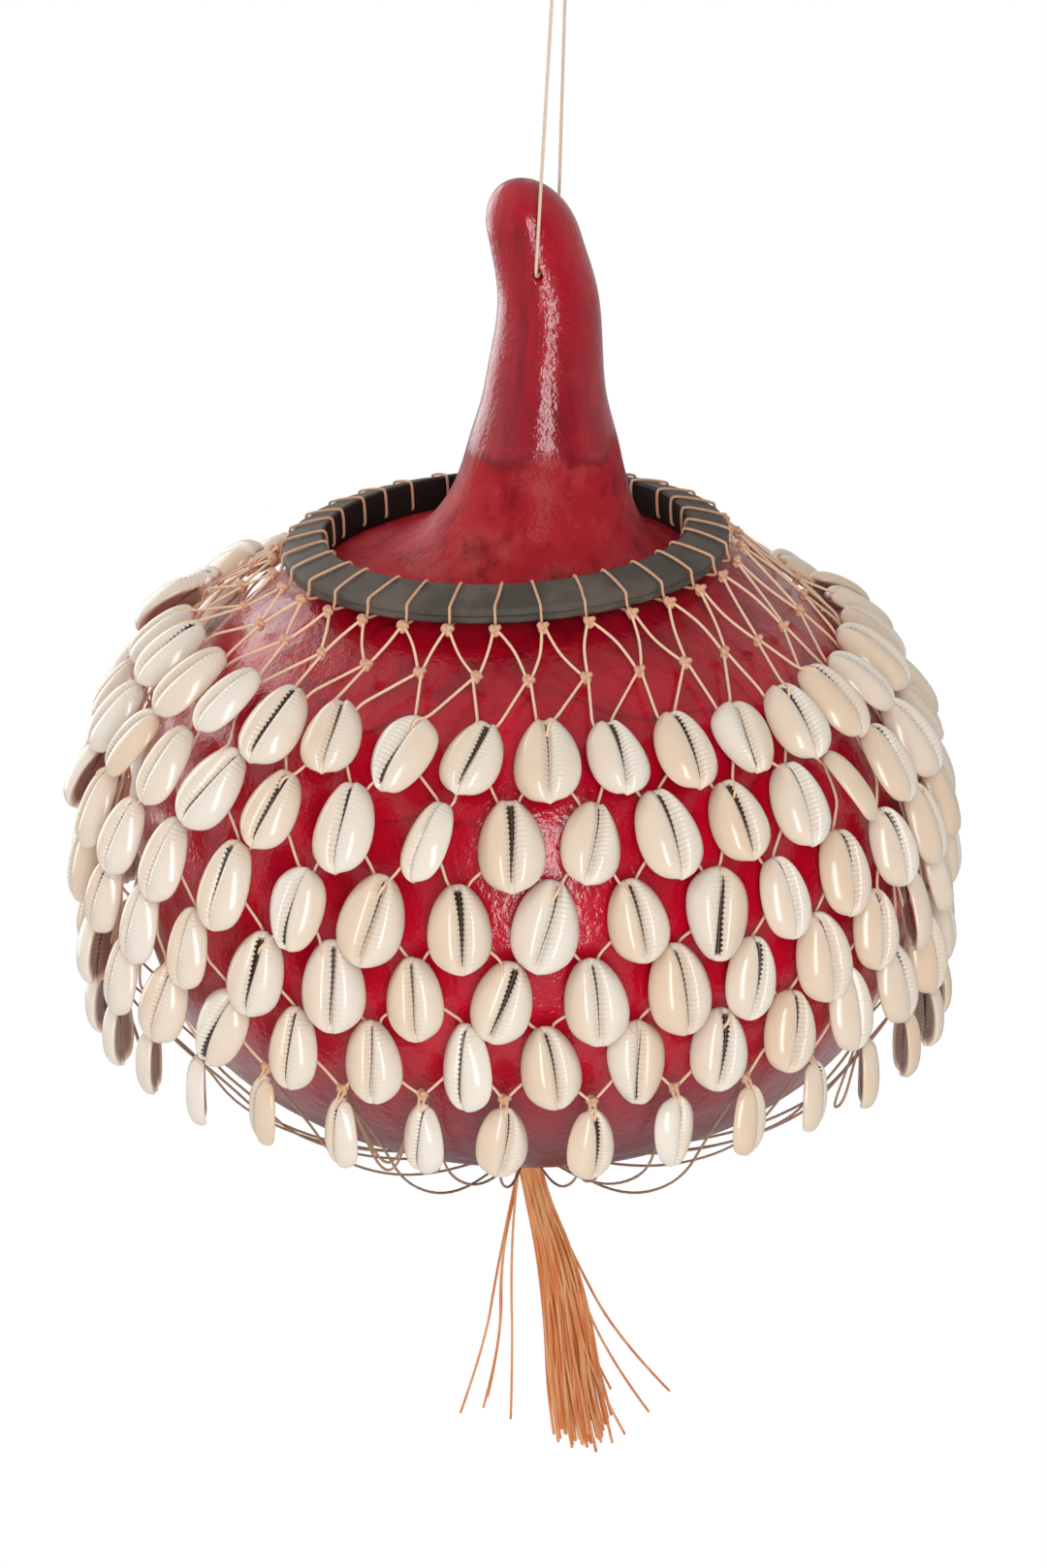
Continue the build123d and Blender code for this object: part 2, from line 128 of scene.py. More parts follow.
# Collar ring, with the squeeze and sag of its rubber; the pinch's width is in degrees
RING_INNER_RADIUS = 44.8
RING_WIDTH = 10.3
RING_INNER_HEIGHT = 7.0
RING_OUTER_HEIGHT = 4.0
RING_SHIFT = -5.4
RING_TILT = 2.5
RING_FLOOR = 77.1
RING_OUTER_RADIUS = RING_INNER_RADIUS + RING_WIDTH
RING_KNOT_GAP = 1.6
RING_KNOT_DROP = 0.4
LASHING_GAP = 0.55
PINCH_WIDTH = 1.1
PINCH_ACROSS = 0.14
PINCH_DOWN = 0.55
BAND_SAG = 0.22
SAG_ACROSS = 0.6
WALL_DEPTH = 1.2
WALL_DEPTH_BEHIND = 0.5

# Net
COLUMNS = 32
PITCH = 360.0 / COLUMNS
TWINE_RADIUS = 0.37
KNOT_TWINE_RADIUS = TWINE_RADIUS + 0.35
CLOSER_TWINE_RADIUS = 0.9 * TWINE_RADIUS
NET_LIFT = 1.9
NET_SLACK = 7.0
RING_PHASE = -2.45
MID_PHASE = 0.4
ODD_PHASE = -8.55
EVEN_PHASE = -2.9
MID_KNOT_HEIGHT = 64.0
KNOT_RADIUS = 1.4
KNOT_GAP = 0.3
KNOT_SIZE = 1.12
KNOT_SIDE = 0.4
HEM_KNOT_HEIGHT = -25.7
HEM_STANDOFF = 1.9
HEM_SWAY = 3.0
ROW_HEIGHTS = (49.5, 34.2, 17.2, 0.5, -16.9)
ROW_SHARES = (0.85, 0.95, 1.0, 0.95, 0.85)

# Cowrie shells
SHELL_LENGTH = 21.0
SHELL_WIDTH = 15.0
SHELL_HEIGHT = 7.2
SHELL_TIE = 7.5
TIE_SIDE = 0.85
TIE_DEPTH = 1.15
SHELL_BASE = 2.75
SHELL_TILT = math.radians(13.0)
SHELL_SIZES = (0.92, 0.97, 1.02)
HEM_SCALE = 0.82
ROLLED = 38.0

# Kinds of cowrie: the slit's lean, its gaps at the narrow end and the foot, and one lobe's height
COWRIE_KINDS = {
    "cowrie_open": (0.7, 1.5, 0.7, 0.96),
    "cowrie_even": (-0.3, 1.1, 0.6, 1.0),
    "cowrie_slant": (1.5, 1.3, 0.7, 0.92),
}
# From a cowrie's foot to its narrow end: half width, place along it and height, as shares
COWRIE_LINES = (
    (0.52, -1.10, 0.52), (1.05, -0.68, 0.92), (1.15, -0.02, 1.0), (0.86, 0.66, 0.92), (0.38, 1.10, 0.60)
)
# Where cords touch a shell, in the shell's own millimetres
BEHIND_RIM = ((2.0, 10.4, -0.1),)
OVER_LOBE = ((2.3, 10.4, 2.7), (1.7, 8.8, 5.1), (1.1, 7.2, 5.2), (0.3, 5.6, 3.6))
HEM_LOOP = ((0.9, 10.8, 2.9), (0.5, 9.4, 4.0), (0.2, 7.6, 3.2))

# Closing cords and tassel
CLOSER_STANDOFF = 7.0
CLOSER_DROOP = 6.0
# Columns and sags of the loose bights: wide ones from knot to knot, narrow ones under one knot
WIDE_BIGHTS = ((30, 21.0), (30, 19.0), (13, 14.0))
NARROW_BIGHTS = ((31, 23.0), (1, 24.0), (5, 22.0), (20, 25.0), (25, 23.0))
GATHER_DROP = 85.0
GATHER_RADIUS = 4.4
GATHER_TURNS = 5.5
GATHER_STEPS = 66
GATHER_TWINE = 0.75
TASSEL_STRANDS = 96
TASSEL_LENGTH = 78.0
TASSEL_SPREAD = 9.0
TASSEL_LEAN = 14.5
TASSEL_BOW = 2.2
STRAND_RADIUS = 0.42
STRAY_RADIUS = 0.34
# The strays' azimuths, and how far their ends reach out
STRAYS = (
    (-82, 18.0), (-104, 11.0), (-66, 5.0), (-122, 14.0), (84, 32.0), (100, 38.0), (70, 27.0), (128, 28.0)
)

FLOOR_SIZE = 16.0
FLOOR_DROP = 1.15
WHITE = (1, 1, 1, 1)


def row(point):
    """A point in millimetres from the gourd's middle, as metres in the row frame."""
    return Vector((point.x - LOOP_X, point.y, point.z - EQUATOR_DROP)) * MM


def row_route(points):
    return [row(point) for point in points]


def upright(height):
    return Vector((0, 0, height))


def bell(value, middle, width):
    """A smooth hump: 1 at its middle, nearly 0 two widths away."""
    return math.exp(-(((value - middle) / width) ** 2))


def gourd_radius(height):
    rise = GOURD_RISE_ABOVE if height >= 0 else GOURD_DEPTH_BELOW
    bulge = BULGE_ABOVE if height >= 0 else BULGE_BELOW
    share = min(1.0, abs(height) / rise)
    return GOURD_RADIUS * (1.0 - share**bulge) ** (1.0 / bulge)


def gourd_foot(radius):
    """Height of the gourd's underside at a radius."""
    return -GOURD_DEPTH_BELOW * (1.0 - (radius / GOURD_RADIUS) ** BULGE_BELOW) ** (1.0 / BULGE_BELOW)


def gourd_lean(height):
    """Angle in radians by which the gourd's outward direction looks up at a height."""
    if height <= 0:
        return 0.0
    step = 0.25
    slope = (gourd_radius(height - step) - gourd_radius(height + step)) / (2 * step)
    return math.atan(slope)


def outward(azimuth, lean=0.0):
    """Outward direction at an azimuth in degrees from the front towards the right."""
    a = math.radians(azimuth)
    return Vector((math.sin(a) * math.cos(lean), -math.cos(a) * math.cos(lean), math.sin(lean)))


def tangent(azimuth):
    a = math.radians(azimuth)
    return Vector((math.cos(a), math.sin(a), 0.0))


def slack(azimuth, share=1.0):
    """How far the loose net stands off the gourd: most on its left side."""
    return share * (1.5 + NET_SLACK * ((1.0 - math.sin(math.radians(azimuth))) / 2.0) ** 2)


def wobble(column, row_number, spread):
    """Small, repeatable irregularity of hand work."""
    return spread * math.sin(2.4 * column * (row_number + 1.3) + 1.7 * row_number)


def net_point(height, azimuth, lift):
    foot = outward(azimuth) * gourd_radius(max(height, 0.0))
    return foot + outward(azimuth, gourd_lean(height)) * lift + upright(height)


def neck_radius(height):
    rise = height - SHOULDER_HEIGHT
    flare = gourd_radius(SHOULDER_HEIGHT) - NECK_CORE - NECK_SWELL
    swell = NECK_SWELL * math.exp(-rise / SWELL_LENGTH)
    return NECK_CORE + swell + flare * math.exp(-rise / FLARE_LENGTH)


def neck_offset(height):
    lean = NECK_LEAN * (1.0 - math.exp(-(height - SHOULDER_HEIGHT) / LEAN_LENGTH))
    bend = max(0.0, (height - BEND_START) / BEND_LENGTH) ** 2.5
    return lean - TIP_BEND * bend


def neck_bow(height):
    """The grown neck's own bow: a shift to the right in millimetres, and how much of its width is left."""
    share = min(1.0, max(0.0, (height - WAIST_START) / WAIST_LENGTH))
    slim = 1.0 - WAIST_SLIM * share * share * (3.0 - 2.0 * share)
    return NECK_BOW * bell(height, BOW_HEIGHT, BOW_LENGTH), slim


def gourd_stations():
    """Level circles from the gourd's foot to the neck's tip: height, radius and middle."""
    heights = [-GOURD_DEPTH_BELOW * math.cos(math.radians(a)) ** (2 / BULGE_BELOW) for a in range(3, 90, 3)]
    heights += [SHOULDER_HEIGHT * math.sin(math.radians(a)) for a in range(0, 90, 4)]
    stations = [(height, gourd_radius(height), 0.0) for height in heights]
    count = 36
    for k in range(count):
        height = SHOULDER_HEIGHT + (NECK_TOP_HEIGHT - SHOULDER_HEIGHT) * (k / count) ** 1.5
        shift, slim = neck_bow(height)
        stations.append((height, slim * neck_radius(height), neck_offset(height) + shift))
    for turn in range(0, 88, 6):
        height = NECK_TOP_HEIGHT + (NECK_TIP_HEIGHT - NECK_TOP_HEIGHT) * math.sin(math.radians(turn))
        shift, slim = neck_bow(height)
        radius = slim * neck_radius(NECK_TOP_HEIGHT) * math.cos(math.radians(turn))
        stations.append((height, radius, neck_offset(height) + shift))
    return stations


def ring_point(azimuth, radius, height):
    """A point of the tilted collar, in millimetres from the gourd's middle."""
    way = outward(azimuth)
    tilt = math.radians(RING_TILT)
    across = way.x * radius
    x = across * math.cos(tilt) - height * math.sin(tilt)
    z = across * math.sin(tilt) + height * math.cos(tilt)
    return Vector((RING_SHIFT + x, way.y * radius, RING_FLOOR + z))


def ring_azimuth(column):
    return RING_PHASE + PITCH * column


def ring_knot_point(column):
    reach = RING_OUTER_RADIUS + RING_KNOT_GAP + KNOT_RADIUS
    return ring_point(ring_azimuth(column), reach, -RING_KNOT_DROP)


def mid_azimuth(column):
    return MID_PHASE + PITCH * column + wobble(column, 7, 0.5)


def mid_point(column):
    azimuth = mid_azimuth(column)
    return net_point(MID_KNOT_HEIGHT + wobble(column, 9, 1.0), azimuth, NET_LIFT + slack(azimuth, 0.5))


def hem_azimuth(column):
    return EVEN_PHASE + PITCH * column + wobble(column, 6, 0.3)


def hem_point(column):
    azimuth = hem_azimuth(column)
    reach = GOURD_RADIUS + HEM_STANDOFF + slack(azimuth, 0.75)
    return outward(azimuth) * reach + upright(HEM_KNOT_HEIGHT + wobble(column, 8, 0.6))


def shell_number(row_number, column):
    return column + COLUMNS * row_number


def shell_size(row_number, column):
    choices = 2 if row_number == 4 else 3
    return SHELL_SIZES[(column * 5 + row_number * 2) % 7 % choices]


def shell_matrix(row_number, column):
    """Place of a tied shell: its back lies over the net, its narrow end looks up."""
    height = ROW_HEIGHTS[row_number] + wobble(column + 5, row_number, 0.6)
    phase = ODD_PHASE if row_number % 2 == 0 else EVEN_PHASE
    azimuth = phase + PITCH * column + wobble(column, row_number, 0.45)
    facing = outward(azimuth, gourd_lean(height) + SHELL_TILT)
    base = net_point(height, azimuth, SHELL_BASE + slack(azimuth, ROW_SHARES[row_number]))
    across = tangent(azimuth)
    return Matrix.Translation(base) @ Matrix((across, facing.cross(across), facing)).transposed().to_4x4()


def turned_shell_matrix(row_number, column):
    """A tied shell as it hangs: swung a little on its cords, and now and then rolled on its side."""
    number = shell_number(row_number, column)
    swing = wobble(column, row_number + 3, 4.0) + wobble(3 * column + 1, row_number + 5, 9.0)
    turn = Matrix.Rotation(math.radians(swing), 4, "Z")
    roll = wobble(number, 2, 9.0)
    if number * 11 % 13 == 4:
        roll = math.copysign(ROLLED, roll)
    axis = Matrix.Translation(upright(SHELL_HEIGHT / 2))
    rolled = axis @ Matrix.Rotation(math.radians(roll), 4, "Y") @ axis.inverted()
    return shell_matrix(row_number, column) @ turn @ rolled


def hem_shell_matrix(column):
    facing = hem_azimuth(column) + wobble(column, 4, 40.0)
    reach = KNOT_RADIUS + KNOT_GAP + HEM_SCALE * SHELL_LENGTH / 2
    hung = hem_point(column) + outward(hem_azimuth(column)) * HEM_SWAY - upright(reach)
    seat = hung - outward(facing) * HEM_SCALE * SHELL_HEIGHT / 2
    axes = Matrix((tangent(facing), upright(1), outward(facing))).transposed().to_4x4()
    return Matrix.Translation(seat) @ axes


def row_matrix(matrix, scale):
    """A place in millimetres round the gourd, turned into the row frame's metres."""
    shift = Matrix.Translation(Vector((-LOOP_X, 0.0, -EQUATOR_DROP)))
    return Matrix.Scale(MM, 4) @ shift @ matrix @ Matrix.Scale(scale, 4)


def shell_spots(matrix, size, side, spots):
    """Points on one side of a shell, given in the shell's own millimetres."""
    return [matrix @ (Vector((side * x, y, z)) * size) for x, y, z in spots]


# Small helpers round Blender's own operators


def clear_selection():
    if bpy.context.object and bpy.context.object.mode != "OBJECT":
        bpy.ops.object.mode_set(mode="OBJECT")
    bpy.ops.object.select_all(action="DESELECT")


def make_active(piece):
    clear_selection()
    piece.select_set(True)
    bpy.context.view_layer.objects.active = piece


def apply_modifier(piece, kind, **settings):
    make_active(piece)
    bpy.ops.object.modifier_add(type=kind)
    modifier = piece.modifiers[-1]
    for key, value in settings.items():
        setattr(modifier, key, value)
    bpy.ops.object.modifier_apply(modifier=modifier.name)


def close_up():
    """In edit mode: turns every face outwards, and goes back to object mode."""
    bpy.ops.mesh.select_all(action="SELECT")
    bpy.ops.mesh.normals_make_consistent(inside=False)
    bpy.ops.object.mode_set(mode="OBJECT")


def settle(piece, name, body, slot, material, *nodes):
    """Names a finished piece, gives it its finish and hands it to the frame.

    A blended piece has no one body.
    """
    make_active(piece)
    bpy.ops.object.transform_apply(location=True, rotation=True, scale=True)
    piece.name = name
    piece.data.name = name
    piece.data.materials.clear()
    piece.data.materials.append(material)
    if body:
        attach(piece, body)
    if nodes:
        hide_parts(*nodes)


def cord_curve(routes, radius, cyclic=False, steps=5, sides=2):
    """Round cords along NURBS lines through the routes' points, in metres."""
    curve = bpy.data.curves.new("cord", "CURVE")
    curve.dimensions = "3D"
    for route in routes:
        spline = curve.splines.new("NURBS")
        spline.points.add(len(route) - 1)
        for control, place in zip(spline.points, route):
            control.co = (*place, 1.0)
        spline.use_cyclic_u = cyclic
        spline.order_u = 3
        spline.use_endpoint_u = not cyclic
        spline.resolution_u = steps
        spline.use_smooth = True
    curve.bevel_depth = radius * MM
    curve.bevel_resolution = sides
    curve.use_fill_caps = not cyclic
    piece = bpy.data.objects.new("cord", curve)
    bpy.context.collection.objects.link(piece)
    return piece


def cord_mesh(routes, radius, cyclic=False, steps=5, sides=1):
    make_active(cord_curve(routes, radius, cyclic, steps, sides))
    bpy.ops.object.convert(target="MESH")
    return bpy.context.object


def knot_route(centre, turn, size=KNOT_SIZE):
    """One overhand knot: a small closed trefoil about its middle, in metres."""
    way = Matrix.Rotation(math.radians(turn), 3, "Z")
    points = []
    steps = 12
    for k in range(steps):
        t = 2 * math.pi * k / steps
        x = math.sin(t) + 1.6 * math.sin(2 * t)
        y = 1.25 * math.sin(3 * t)
        z = math.cos(t) - 1.6 * math.cos(2 * t)
        points.append(row(centre + way @ (Vector((x, y, z)) * size * 0.42)))
    return points


# Shader helpers


class Nodes:
    """Short words for the nodes of one tree."""

    def __init__(self, tree):
        self.tree = tree

    def add(self, kind, settings=None, **inputs):
        """A node; its inputs go by name or as i0, i1 and so on, and are values or other nodes' outputs."""
        node = self.tree.nodes.new("ShaderNode" + kind)
        for key, value in (settings or {}).items():
            setattr(node, key, value)
        for key, value in inputs.items():
            numbered = key[0] == "i" and key[1:].isdigit()
            socket = node.inputs[int(key[1:]) if numbered else key.replace("_", " ")]
            if isinstance(value, bpy.types.NodeSocket):
                self.tree.links.new(value, socket)
            else:
                socket.default_value = value
        return node

    def coordinates(self, kind):
        return self.add("TexCoord").outputs[kind]

    def parts(self, vector):
        return self.add("SeparateXYZ", Vector=vector).outputs

    def math(self, operation, first, second=0.0):
        return self.add("Math", {"operation": operation}, i0=first, i1=second).outputs[0]

    def times(self, first, *others):
        for other in others:
            first = self.math("MULTIPLY", first, other)
        return first

    def plus(self, first, *others):
        for other in others:
            first = self.math("ADD", first, other)
        return first

    def minus(self, first, second):
        return self.math("SUBTRACT", first, second)

    def apart(self, first, second):
        return self.math("ABSOLUTE", self.minus(first, second))

    def spread(self, value, low, high, to_low=0.0, to_high=1.0, kind="SMOOTHSTEP"):
        """A value between low and high, spread out between two others."""
        settings = {"interpolation_type": kind}
        return self.add("MapRange", settings, i0=value, i1=low, i2=high, i3=to_low, i4=to_high).outputs[0]

    def noise(self, place, scale, detail=3.0, roughness=0.55):
        settings = {"Vector": place, "Scale": scale, "Detail": detail, "Roughness": roughness}
        return self.add("TexNoise", **settings).outputs[0]

    def mix(self, factor, first, second):
        """The first colour where the factor is 0, and the second where it is 1."""
        pair = [c if isinstance(c, bpy.types.NodeSocket) else (*c[:3], 1.0) for c in (first, second)]
        return self.add("Mix", {"data_type": "RGBA"}, i0=factor, i6=pair[0], i7=pair[1]).outputs[2]

    def choose(self, kind, factor, first, second):
        """Puts out the first shader where the factor is 0, and the second where it is 1."""
        choice = self.add("MixShader", i0=factor, i1=first.outputs[0], i2=second.outputs[0])
        self.tree.links.new(choice.outputs[0], self.add(kind).inputs[0])


class Finish(Nodes):
    """A new material and its shader, with the constants set on the shader's own sockets."""

    def __init__(self, name, **constants):
        self.material = bpy.data.materials.new(name)
        self.material.use_nodes = True
        super().__init__(self.material.node_tree)
        self.shader = self.tree.nodes["Principled BSDF"]
        self.place = self.coordinates("Object")
        for socket, value in constants.items():
            self.shader.inputs[socket.replace("_", " ")].default_value = value

    def feed(self, socket, value):
        self.tree.links.new(value, self.shader.inputs[socket])

    def bump(self, height, distance, strength):
        normal = self.add("Bump", Strength=strength, Distance=distance * MM, Height=height).outputs[0]
        self.feed("Normal", normal)
        return normal


def twisted_ply_group():
    """Slanted plies of a twisted cord, from the cord's own UV map."""
    if "twisted_ply" in bpy.data.node_groups:
        return bpy.data.node_groups["twisted_ply"]
    group = bpy.data.node_groups.new("twisted_ply", "ShaderNodeTree")
    for name, way in (("Turns", "INPUT"), ("Ply", "OUTPUT"), ("Fibre", "OUTPUT")):
        group.interface.new_socket(name, in_out=way, socket_type="NodeSocketFloat")
    entry = group.nodes.new("NodeGroupInput")
    leave = group.nodes.new("NodeGroupOutput")
    plies = Nodes(group)
    around, along = plies.parts(plies.coordinates("UV"))[:2]
    turn = plies.plus(plies.times(along, entry.outputs["Turns"]), plies.times(around, 2.0))
    wave = plies.math("SINE", plies.times(turn, 2 * math.pi))
    group.links.new(plies.spread(wave, -1.0, 1.0), leave.inputs["Ply"])
    group.links.new(plies.noise(plies.coordinates("Object"), 1900.0, 2.0), leave.inputs["Fibre"])
    return group


def cord_finish(name, pale, dark, turns, bands=0.1):
    twine = Finish(name, Roughness=0.7, Specular_IOR_Level=0.25)
    ply = twine.add("Group", {"node_tree": twisted_ply_group()}, Turns=turns)
    shade = twine.plus(twine.times(ply.outputs["Ply"], 0.6), twine.times(ply.outputs["Fibre"], 0.5))
    lengthwise = twine.add("Mapping", Vector=twine.place, Scale=(1.0, 1.0, 0.1)).outputs[0]
    band = twine.spread(twine.noise(lengthwise, 420.0, 1.0), 0.3, 0.7, -bands, bands)
    # Painted light and shade: the plies are painted pale where lit and dark in the creases between them
    twine.feed("Base Color", twine.mix(twine.plus(shade, band), dark, pale))
    twine.bump(shade, 0.15, 0.6)
    return twine.material


# Settings that a user would change


def tone(name, description, default):
    return bpy.props.FloatVectorProperty(
        name=name, description=description, subtype="COLOR", size=3, min=0.0, max=1.0, default=default
    )


def amount(name, description, default, **more):
    return bpy.props.FloatProperty(name=name, description=description, default=default, **more)


class GourdSettings(bpy.types.PropertyGroup):
    crimson: tone("Crimson", "Dye of the body", (0.41, 0.0015, 0.014))
    # Lit crimson is painted light: a brighter copy of the crimson for the lit middle of the body
    lit_crimson: tone("Ruby", "Dye round the body, where it is fullest", (0.62, 0.0015, 0.024))
    scarlet: tone("Scarlet", "Dye where it is thin, round the foot of the neck", (0.43, 0.026, 0.032))
    # Rose is partly rubbed dye and partly painted sheen on the foot of the neck
    rose_and_sheen: tone("Rose", "Rubbed dye on the foot of the neck", (0.51, 0.10, 0.09))
    shade: tone("Shade", "Dye where it has run together", (0.15, 0.0015, 0.008))
    # Plum: a duller, darker colour towards the bottom of the gourd
    plum: tone("Plum", "Dull dye on the underside", (0.15, 0.024, 0.028))
    unevenness: amount("Unevenness", "Depth of the rind's lumps", 1.4 * MM, min=0.0, unit="LENGTH")


class CollarSettings(bpy.types.PropertyGroup):
    charcoal: tone("Charcoal", "Rubber of the collar", (0.070, 0.057, 0.046))
    dust: tone("Dust", "Worn faces of the rubber", (0.128, 0.106, 0.084))
    # Bore: a near-black colour on the collar's inner wall
    bore: tone("Bore", "Unworn inner wall", (0.011, 0.009, 0.007))
    pinch: amount("Pinch", "How far a lashing squeezes the rubber", 0.35, min=0.0, max=1.0)


class CordSettings(bpy.types.PropertyGroup):
    # The pale colours are painted light on the plies, the dark ones painted shade in their creases
    net_pale: tone("Net pale", "Lit plies of the net's cord", (0.88, 0.55, 0.36))
    net_dark: tone("Net dark", "Creases of the net's cord", (0.60, 0.29, 0.16))
    tassel_pale: tone("Tassel pale", "Lit plies of the tassel", (1.0, 0.52, 0.24))
    tassel_dark: tone("Tassel dark", "Creases of the tassel", (0.88, 0.24, 0.065))
    slack_pale: tone("Slack pale", "Lit plies of the closing cords", (0.66, 0.42, 0.28))
    slack_dark: tone("Slack dark", "Creases of the closing cords", (0.34, 0.18, 0.11))
    line_pale: tone("Line pale", "Lit plies of the hanging cord", (0.96, 0.77, 0.61))
    line_dark: tone("Line dark", "Creases of the hanging cord", (0.76, 0.56, 0.43))


class ShellSettings(bpy.types.PropertyGroup):
    ivory: tone("Ivory", "Pale side of a cowrie", (0.85, 0.77, 0.67))
    cream: tone("Cream", "Warm side of a cowrie", (0.79, 0.60, 0.43))
    # Slit is painted shade: the dark colour of the slit's opening
    slit: tone("Slit", "Depth of the toothed slit", (0.045, 0.018, 0.011))
    hollow: tone("Hollow", "Inside of the cut back", (0.16, 0.085, 0.05))
    teeth: amount("Teeth", "Teeth along one lip", 17.0, min=4.0, max=40.0)


class StageSettings(bpy.types.PropertyGroup):
    distance: amount("Distance", "Camera to the gourd's middle", 1300.0 * MM, unit="LENGTH")
    elevation: amount("Elevation", "Camera above the equator", math.radians(21.5), subtype="ANGLE")
    lens: amount("Lens", "Focal length", 118.06, unit="CAMERA")
    rise: amount("Rise", "Aim above the gourd's middle", 14.46 * MM, unit="LENGTH")
    left: amount("Left", "Aim left of the gourd's middle", 1.2 * MM, unit="LENGTH")
    sky: amount("Sky", "Even light from the sides and back", 0.6, min=0.0)
    front: amount("Front", "Even light from the camera's side", 0.17, min=0.0)
    left_wall: amount("Left wall", "Added light from the left", 0.3, min=0.0)
    rim: amount("Rim", "Power of the lamp at the left", 9.0, min=0.0, unit="POWER")
    key: amount("Key", "Power of the main lamp", 18.0, min=0.0, unit="POWER")


class ShekereSettings(bpy.types.PropertyGroup):
    gourd: bpy.props.PointerProperty(type=GourdSettings)
    collar: bpy.props.PointerProperty(type=CollarSettings)
    cord: bpy.props.PointerProperty(type=CordSettings)
    shell: bpy.props.PointerProperty(type=ShellSettings)
    stage: bpy.props.PointerProperty(type=StageSettings)


# Finishes


def gourd_finish(settings):
    rind = Finish("varnished_gourd", Specular_IOR_Level=0.04, Coat_Roughness=0.18)
    place, times, spread = rind.place, rind.times, rind.spread
    height = rind.parts(place)[2]
    equator = -EQUATOR_DROP * MM
    cloud = rind.noise(place, 18.0, 5.0, 0.6)
    patch = rind.noise(place, 44.0, 4.0, 0.6)
    mottle = rind.noise(place, 62.0, 5.0, 0.7)
    fine = rind.noise(place, 150.0, 4.0, 0.6)
    pores = rind.noise(place, 620.0, 2.0, 0.6)
    rising = rind.add("Mapping", Vector=place, Scale=(1.0, 1.0, 0.16)).outputs[0]
    streak = rind.noise(rising, 74.0, 5.0, 0.65)
    # The borders of the dye wander up and down with the patches
    wander = rind.plus(height, times(rind.minus(patch, 0.5), 26 * MM))

    def zone(low, high, level=height):
        return spread(level, equator + low * MM, equator + high * MM)

    # Clouded crimson, thin and bright round the foot of the neck, dull plum underneath
    colour = rind.mix(spread(cloud, 0.34, 0.58, 0.55, 1.0), settings.shade, settings.crimson)
    # Painted light: a band round the middle of the body is painted a brighter, lit crimson
    lit_band = times(zone(66, 48, wander), zone(-34, -6))
    colour = rind.mix(times(lit_band, spread(cloud, 0.34, 0.58, 0.55, 0.85)), colour, settings.lit_crimson)
    low = zone(112, 102, wander)
    foot = times(zone(70, 82), low, spread(cloud, 0.34, 0.60, 0.45, 0.95))
    blush = times(spread(patch, 0.52, 0.74), 0.55)
    colour = rind.mix(rind.math("MAXIMUM", foot, blush), colour, settings.scarlet)
    # The colour turns a duller, darker plum towards the bottom
    colour = rind.mix(zone(-24, -56), colour, settings.plum)
    # The dye has run in dark streaks down the neck and in thin veins over the shoulder
    colour = rind.mix(times(spread(streak, 0.49, 0.66), zone(40, 84), 0.75), colour, settings.shade)
    ridge = spread(rind.apart(rind.noise(place, 24.0, 2.0), 0.5), 0.016, 0.004)
    veins = times(ridge, zone(24, 48), zone(80, 72), spread(patch, 0.36, 0.56))
    colour = rind.mix(times(veins, 0.6), colour, settings.shade)
    # The neck's foot is mottled, with pale rose places that are partly rubbed dye and partly painted sheen,
    # and dark smudges
    foot_zone = times(zone(72, 80), low)
    colour = rind.mix(times(foot_zone, spread(mottle, 0.48, 0.70), 0.42), colour, settings.rose_and_sheen)
    colour = rind.mix(times(foot_zone, spread(mottle, 0.46, 0.32), 0.6), colour, settings.shade)
    # A broken tide line goes round the foot of the neck
    rim = spread(rind.apart(wander, equator + 107 * MM), 3.0 * MM, 0.3 * MM)
    colour = rind.mix(times(rim, spread(patch, 0.38, 0.6), 0.6), colour, settings.shade)
    rind.feed("Base Color", colour)
    rind.feed("Roughness", spread(fine, 0.3, 0.7, 0.30, 0.52))
    dull = rind.math("MAXIMUM", times(zone(62, 80), low), times(zone(-26, -58), 0.8))
    rind.feed("Coat Weight", spread(dull, 0.0, 1.0, 1.0, 0.06))
    grain = rind.plus(times(streak, 0.8), rind.plus(times(fine, 0.8), times(pores, 0.5)))
    rind.feed("Coat Normal", rind.bump(grain, 0.8, 0.5))
    return rind.material


def collar_finish(settings):
    rubber = Finish("collar_rubber", Specular_IOR_Level=0.3)
    patch = rubber.noise(rubber.place, 60.0, 4.0)
    speck = rubber.noise(rubber.place, 900.0, 2.0)
    colour = rubber.mix(rubber.spread(patch, 0.4, 0.66), settings.charcoal, settings.dust)
    # The inner wall is near black
    middle = ((RING_SHIFT - LOOP_X) * MM, 0.0, 0.0)
    arm = rubber.add("VectorMath", {"operation": "SUBTRACT"}, i0=rubber.place, i1=middle).outputs[0]
    level = rubber.add("VectorMath", {"operation": "MULTIPLY"}, i0=arm, i1=(1.0, 1.0, 0.0)).outputs[0]
    reach = rubber.add("VectorMath", {"operation": "LENGTH"}, i0=level).outputs["Value"]
    inside = rubber.spread(reach, (RING_INNER_RADIUS + 1.0) * MM, (RING_INNER_RADIUS + 0.3) * MM)
    rubber.feed("Base Color", rubber.mix(inside, colour, settings.bore))
    rubber.feed("Roughness", rubber.spread(patch, 0.3, 0.7, 0.5, 0.75))
    rubber.bump(rubber.plus(speck, patch), 0.25, 0.4)
    return rubber.material


